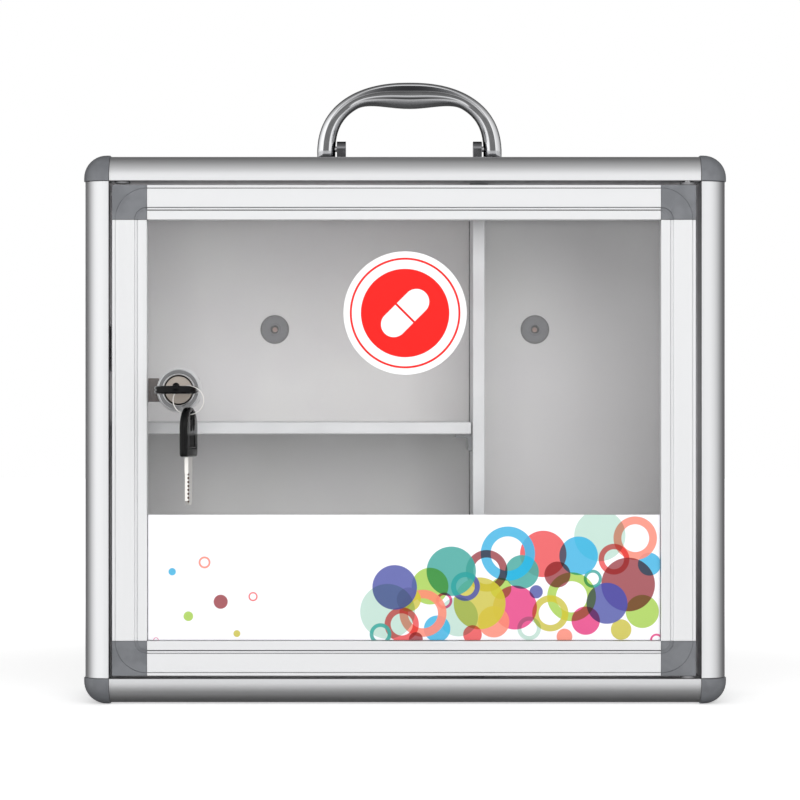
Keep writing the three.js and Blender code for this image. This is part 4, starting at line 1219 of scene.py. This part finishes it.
def handle():
    shape = bmesh.new()
    # Share of painted shade on each corner
    painted_shade = shape.verts.layers.float.new("painted_shade")
    rings = []
    for station in [*handle_foot(-1), *handle_arch(), *reversed(handle_foot(1))]:
        ring = bmesh.ops.create_circle(shape, segments=2 * len(SECTION_SHARES), radius=1)["verts"]
        handle_section(ring, painted_shade, *station)
        rings.append(ring)
    pivot = node_centre("handle")
    pivot.z = node_box("handle")[1].z - (ARCH_RISE + ARCH_BASE - PIVOT_HEIGHT)
    skinned(shape, rings)
    moved(shape, Matrix.Translation(pivot))
    stands_for(object_from(shape, "handle_form", handle_chrome_painted_shade(), HANDLE_SHARP_ANGLE), "handle")
    for side in ("left", "right"):
        # The brackets are chrome with painted shade
        dressed(f"handle_bracket_{side}", bracket_chrome_painted_shade)
        dressed(f"handle_pivot_pin_{side}")


case()
door()
lock()
keys()
key_ring()
handle()
screws()


# Floor, light and camera
BLACK = (0.0, 0.0, 0.0, 1.0)
WHITE = (1.0, 1.0, 1.0, 1.0)


def floor():
    """White floor that glows towards the background's white, but lights nothing by that."""
    half = 6000.0
    near, far, near_glow, far_glow = 300, 1000, 0.46, 0.85
    surface = Surface("floor", (0.9, 0.9, 0.9, 1.0), 0.9)
    x, y, _ = surface.axes()
    distance = (x ** 2 + y ** 2).root()
    seen = surface.ray("Camera").above(surface.ray("Glossy")).above(surface.ray("Transmission"))
    glow = distance.ramp(near, far, near_glow, far_glow) * seen
    surface.set("Emission Color", surface.mix(glow, BLACK, WHITE))
    surface.set("Emission Strength", 1.0)
    shape = bmesh.new()
    bmesh.ops.create_grid(shape, x_segments=1, y_segments=1, size=half)
    low = cad_box[0].z * PER_METRE
    plane = object_from(moved(shape, Matrix.Translation((0, 0, low))), "floor", surface.material)
    plane.visible_glossy = False


def reflected_room(nodes):
    """Brightness of what mirrors see: wide lamps all round the front, and a dim room at the camera's own
    place, on the right, overhead, below and behind, but for a soft light straight behind the product."""
    toward = nodes.add("ShaderNodeTexCoord", output="Generated")
    split = nodes.add("ShaderNodeSeparateXYZ", inputs={0: toward}).socket.node
    across, away, up = [Field(nodes, split.outputs[name]) for name in ("X", "Y", "Z")]
    lamps = away.ramp(-0.35, 0.8, 1.3, 0.1)
    overhead = up.ramp(0.4, 0.95, 1.0, 0.3)
    below = up.ramp(-0.15, -0.9, 1.0, 0.08)
    on_the_right = across.ramp(0.5, 1.0, 1.0, 0.7)
    at_the_camera = away.ramp(-0.995, -0.95, 0.2, 1.0)
    straight_behind = away.ramp(0.93, 0.99, 0.0, 0.6)
    return lamps * overhead * below * on_the_right * at_the_camera + straight_behind


def world():
    """White where it is seen, a room with lamps in reflections, and an even light on all else."""
    ambient = 0.46
    made = bpy.data.worlds.new("studio")
    made.use_nodes = True
    bpy.context.scene.world = made
    nodes = Nodes(made.node_tree)
    glossy = nodes.ray("Glossy")
    seen = nodes.ray("Camera").above(nodes.ray("Transmission"))
    lighting = (1 - glossy) * (1 - seen)
    background = made.node_tree.nodes["Background"]
    nodes.put(background.inputs["Color"], WHITE)
    nodes.put(background.inputs["Strength"], seen + glossy * reflected_room(nodes) + lighting * ambient)


def lamp(name, place, aim, size, power):
    """Soft square lamp; lengths in millimetres and power in watts."""
    light = bpy.data.lights.new(name, "AREA")
    light.size = size * MM
    light.energy = power
    made = bpy.data.objects.new(name, light)
    bpy.context.scene.collection.objects.link(made)
    made.location = Vector(place) * MM
    made.rotation_euler = (Vector(aim) - Vector(place)).to_track_quat("-Z", "Y").to_euler()
    made.visible_camera = False
    made.visible_glossy = False


def camera(place, lens):
    """Level view along +Y from a place in millimetres."""
    sensor_width = 36.0
    near, far = 10, 20000
    made = bpy.data.cameras.new("camera")
    made.lens = lens
    made.sensor_width = sensor_width
    made.clip_start = near * MM
    made.clip_end = far * MM
    seat = bpy.data.objects.new("camera", made)
    bpy.context.scene.collection.objects.link(seat)
    seat.location = Vector(place) * MM
    seat.rotation_euler = (QUARTER_TURN, 0, 0)
    bpy.context.scene.camera = seat


floor()
world()
lamp("key_lamp", place=(120, -2100, 850), aim=(0, 0, 150), size=1600, power=34)
camera(place=(-2.7, -2160, 160.7), lens=178.8)
bpy.context.scene.view_settings.view_transform = "Standard"
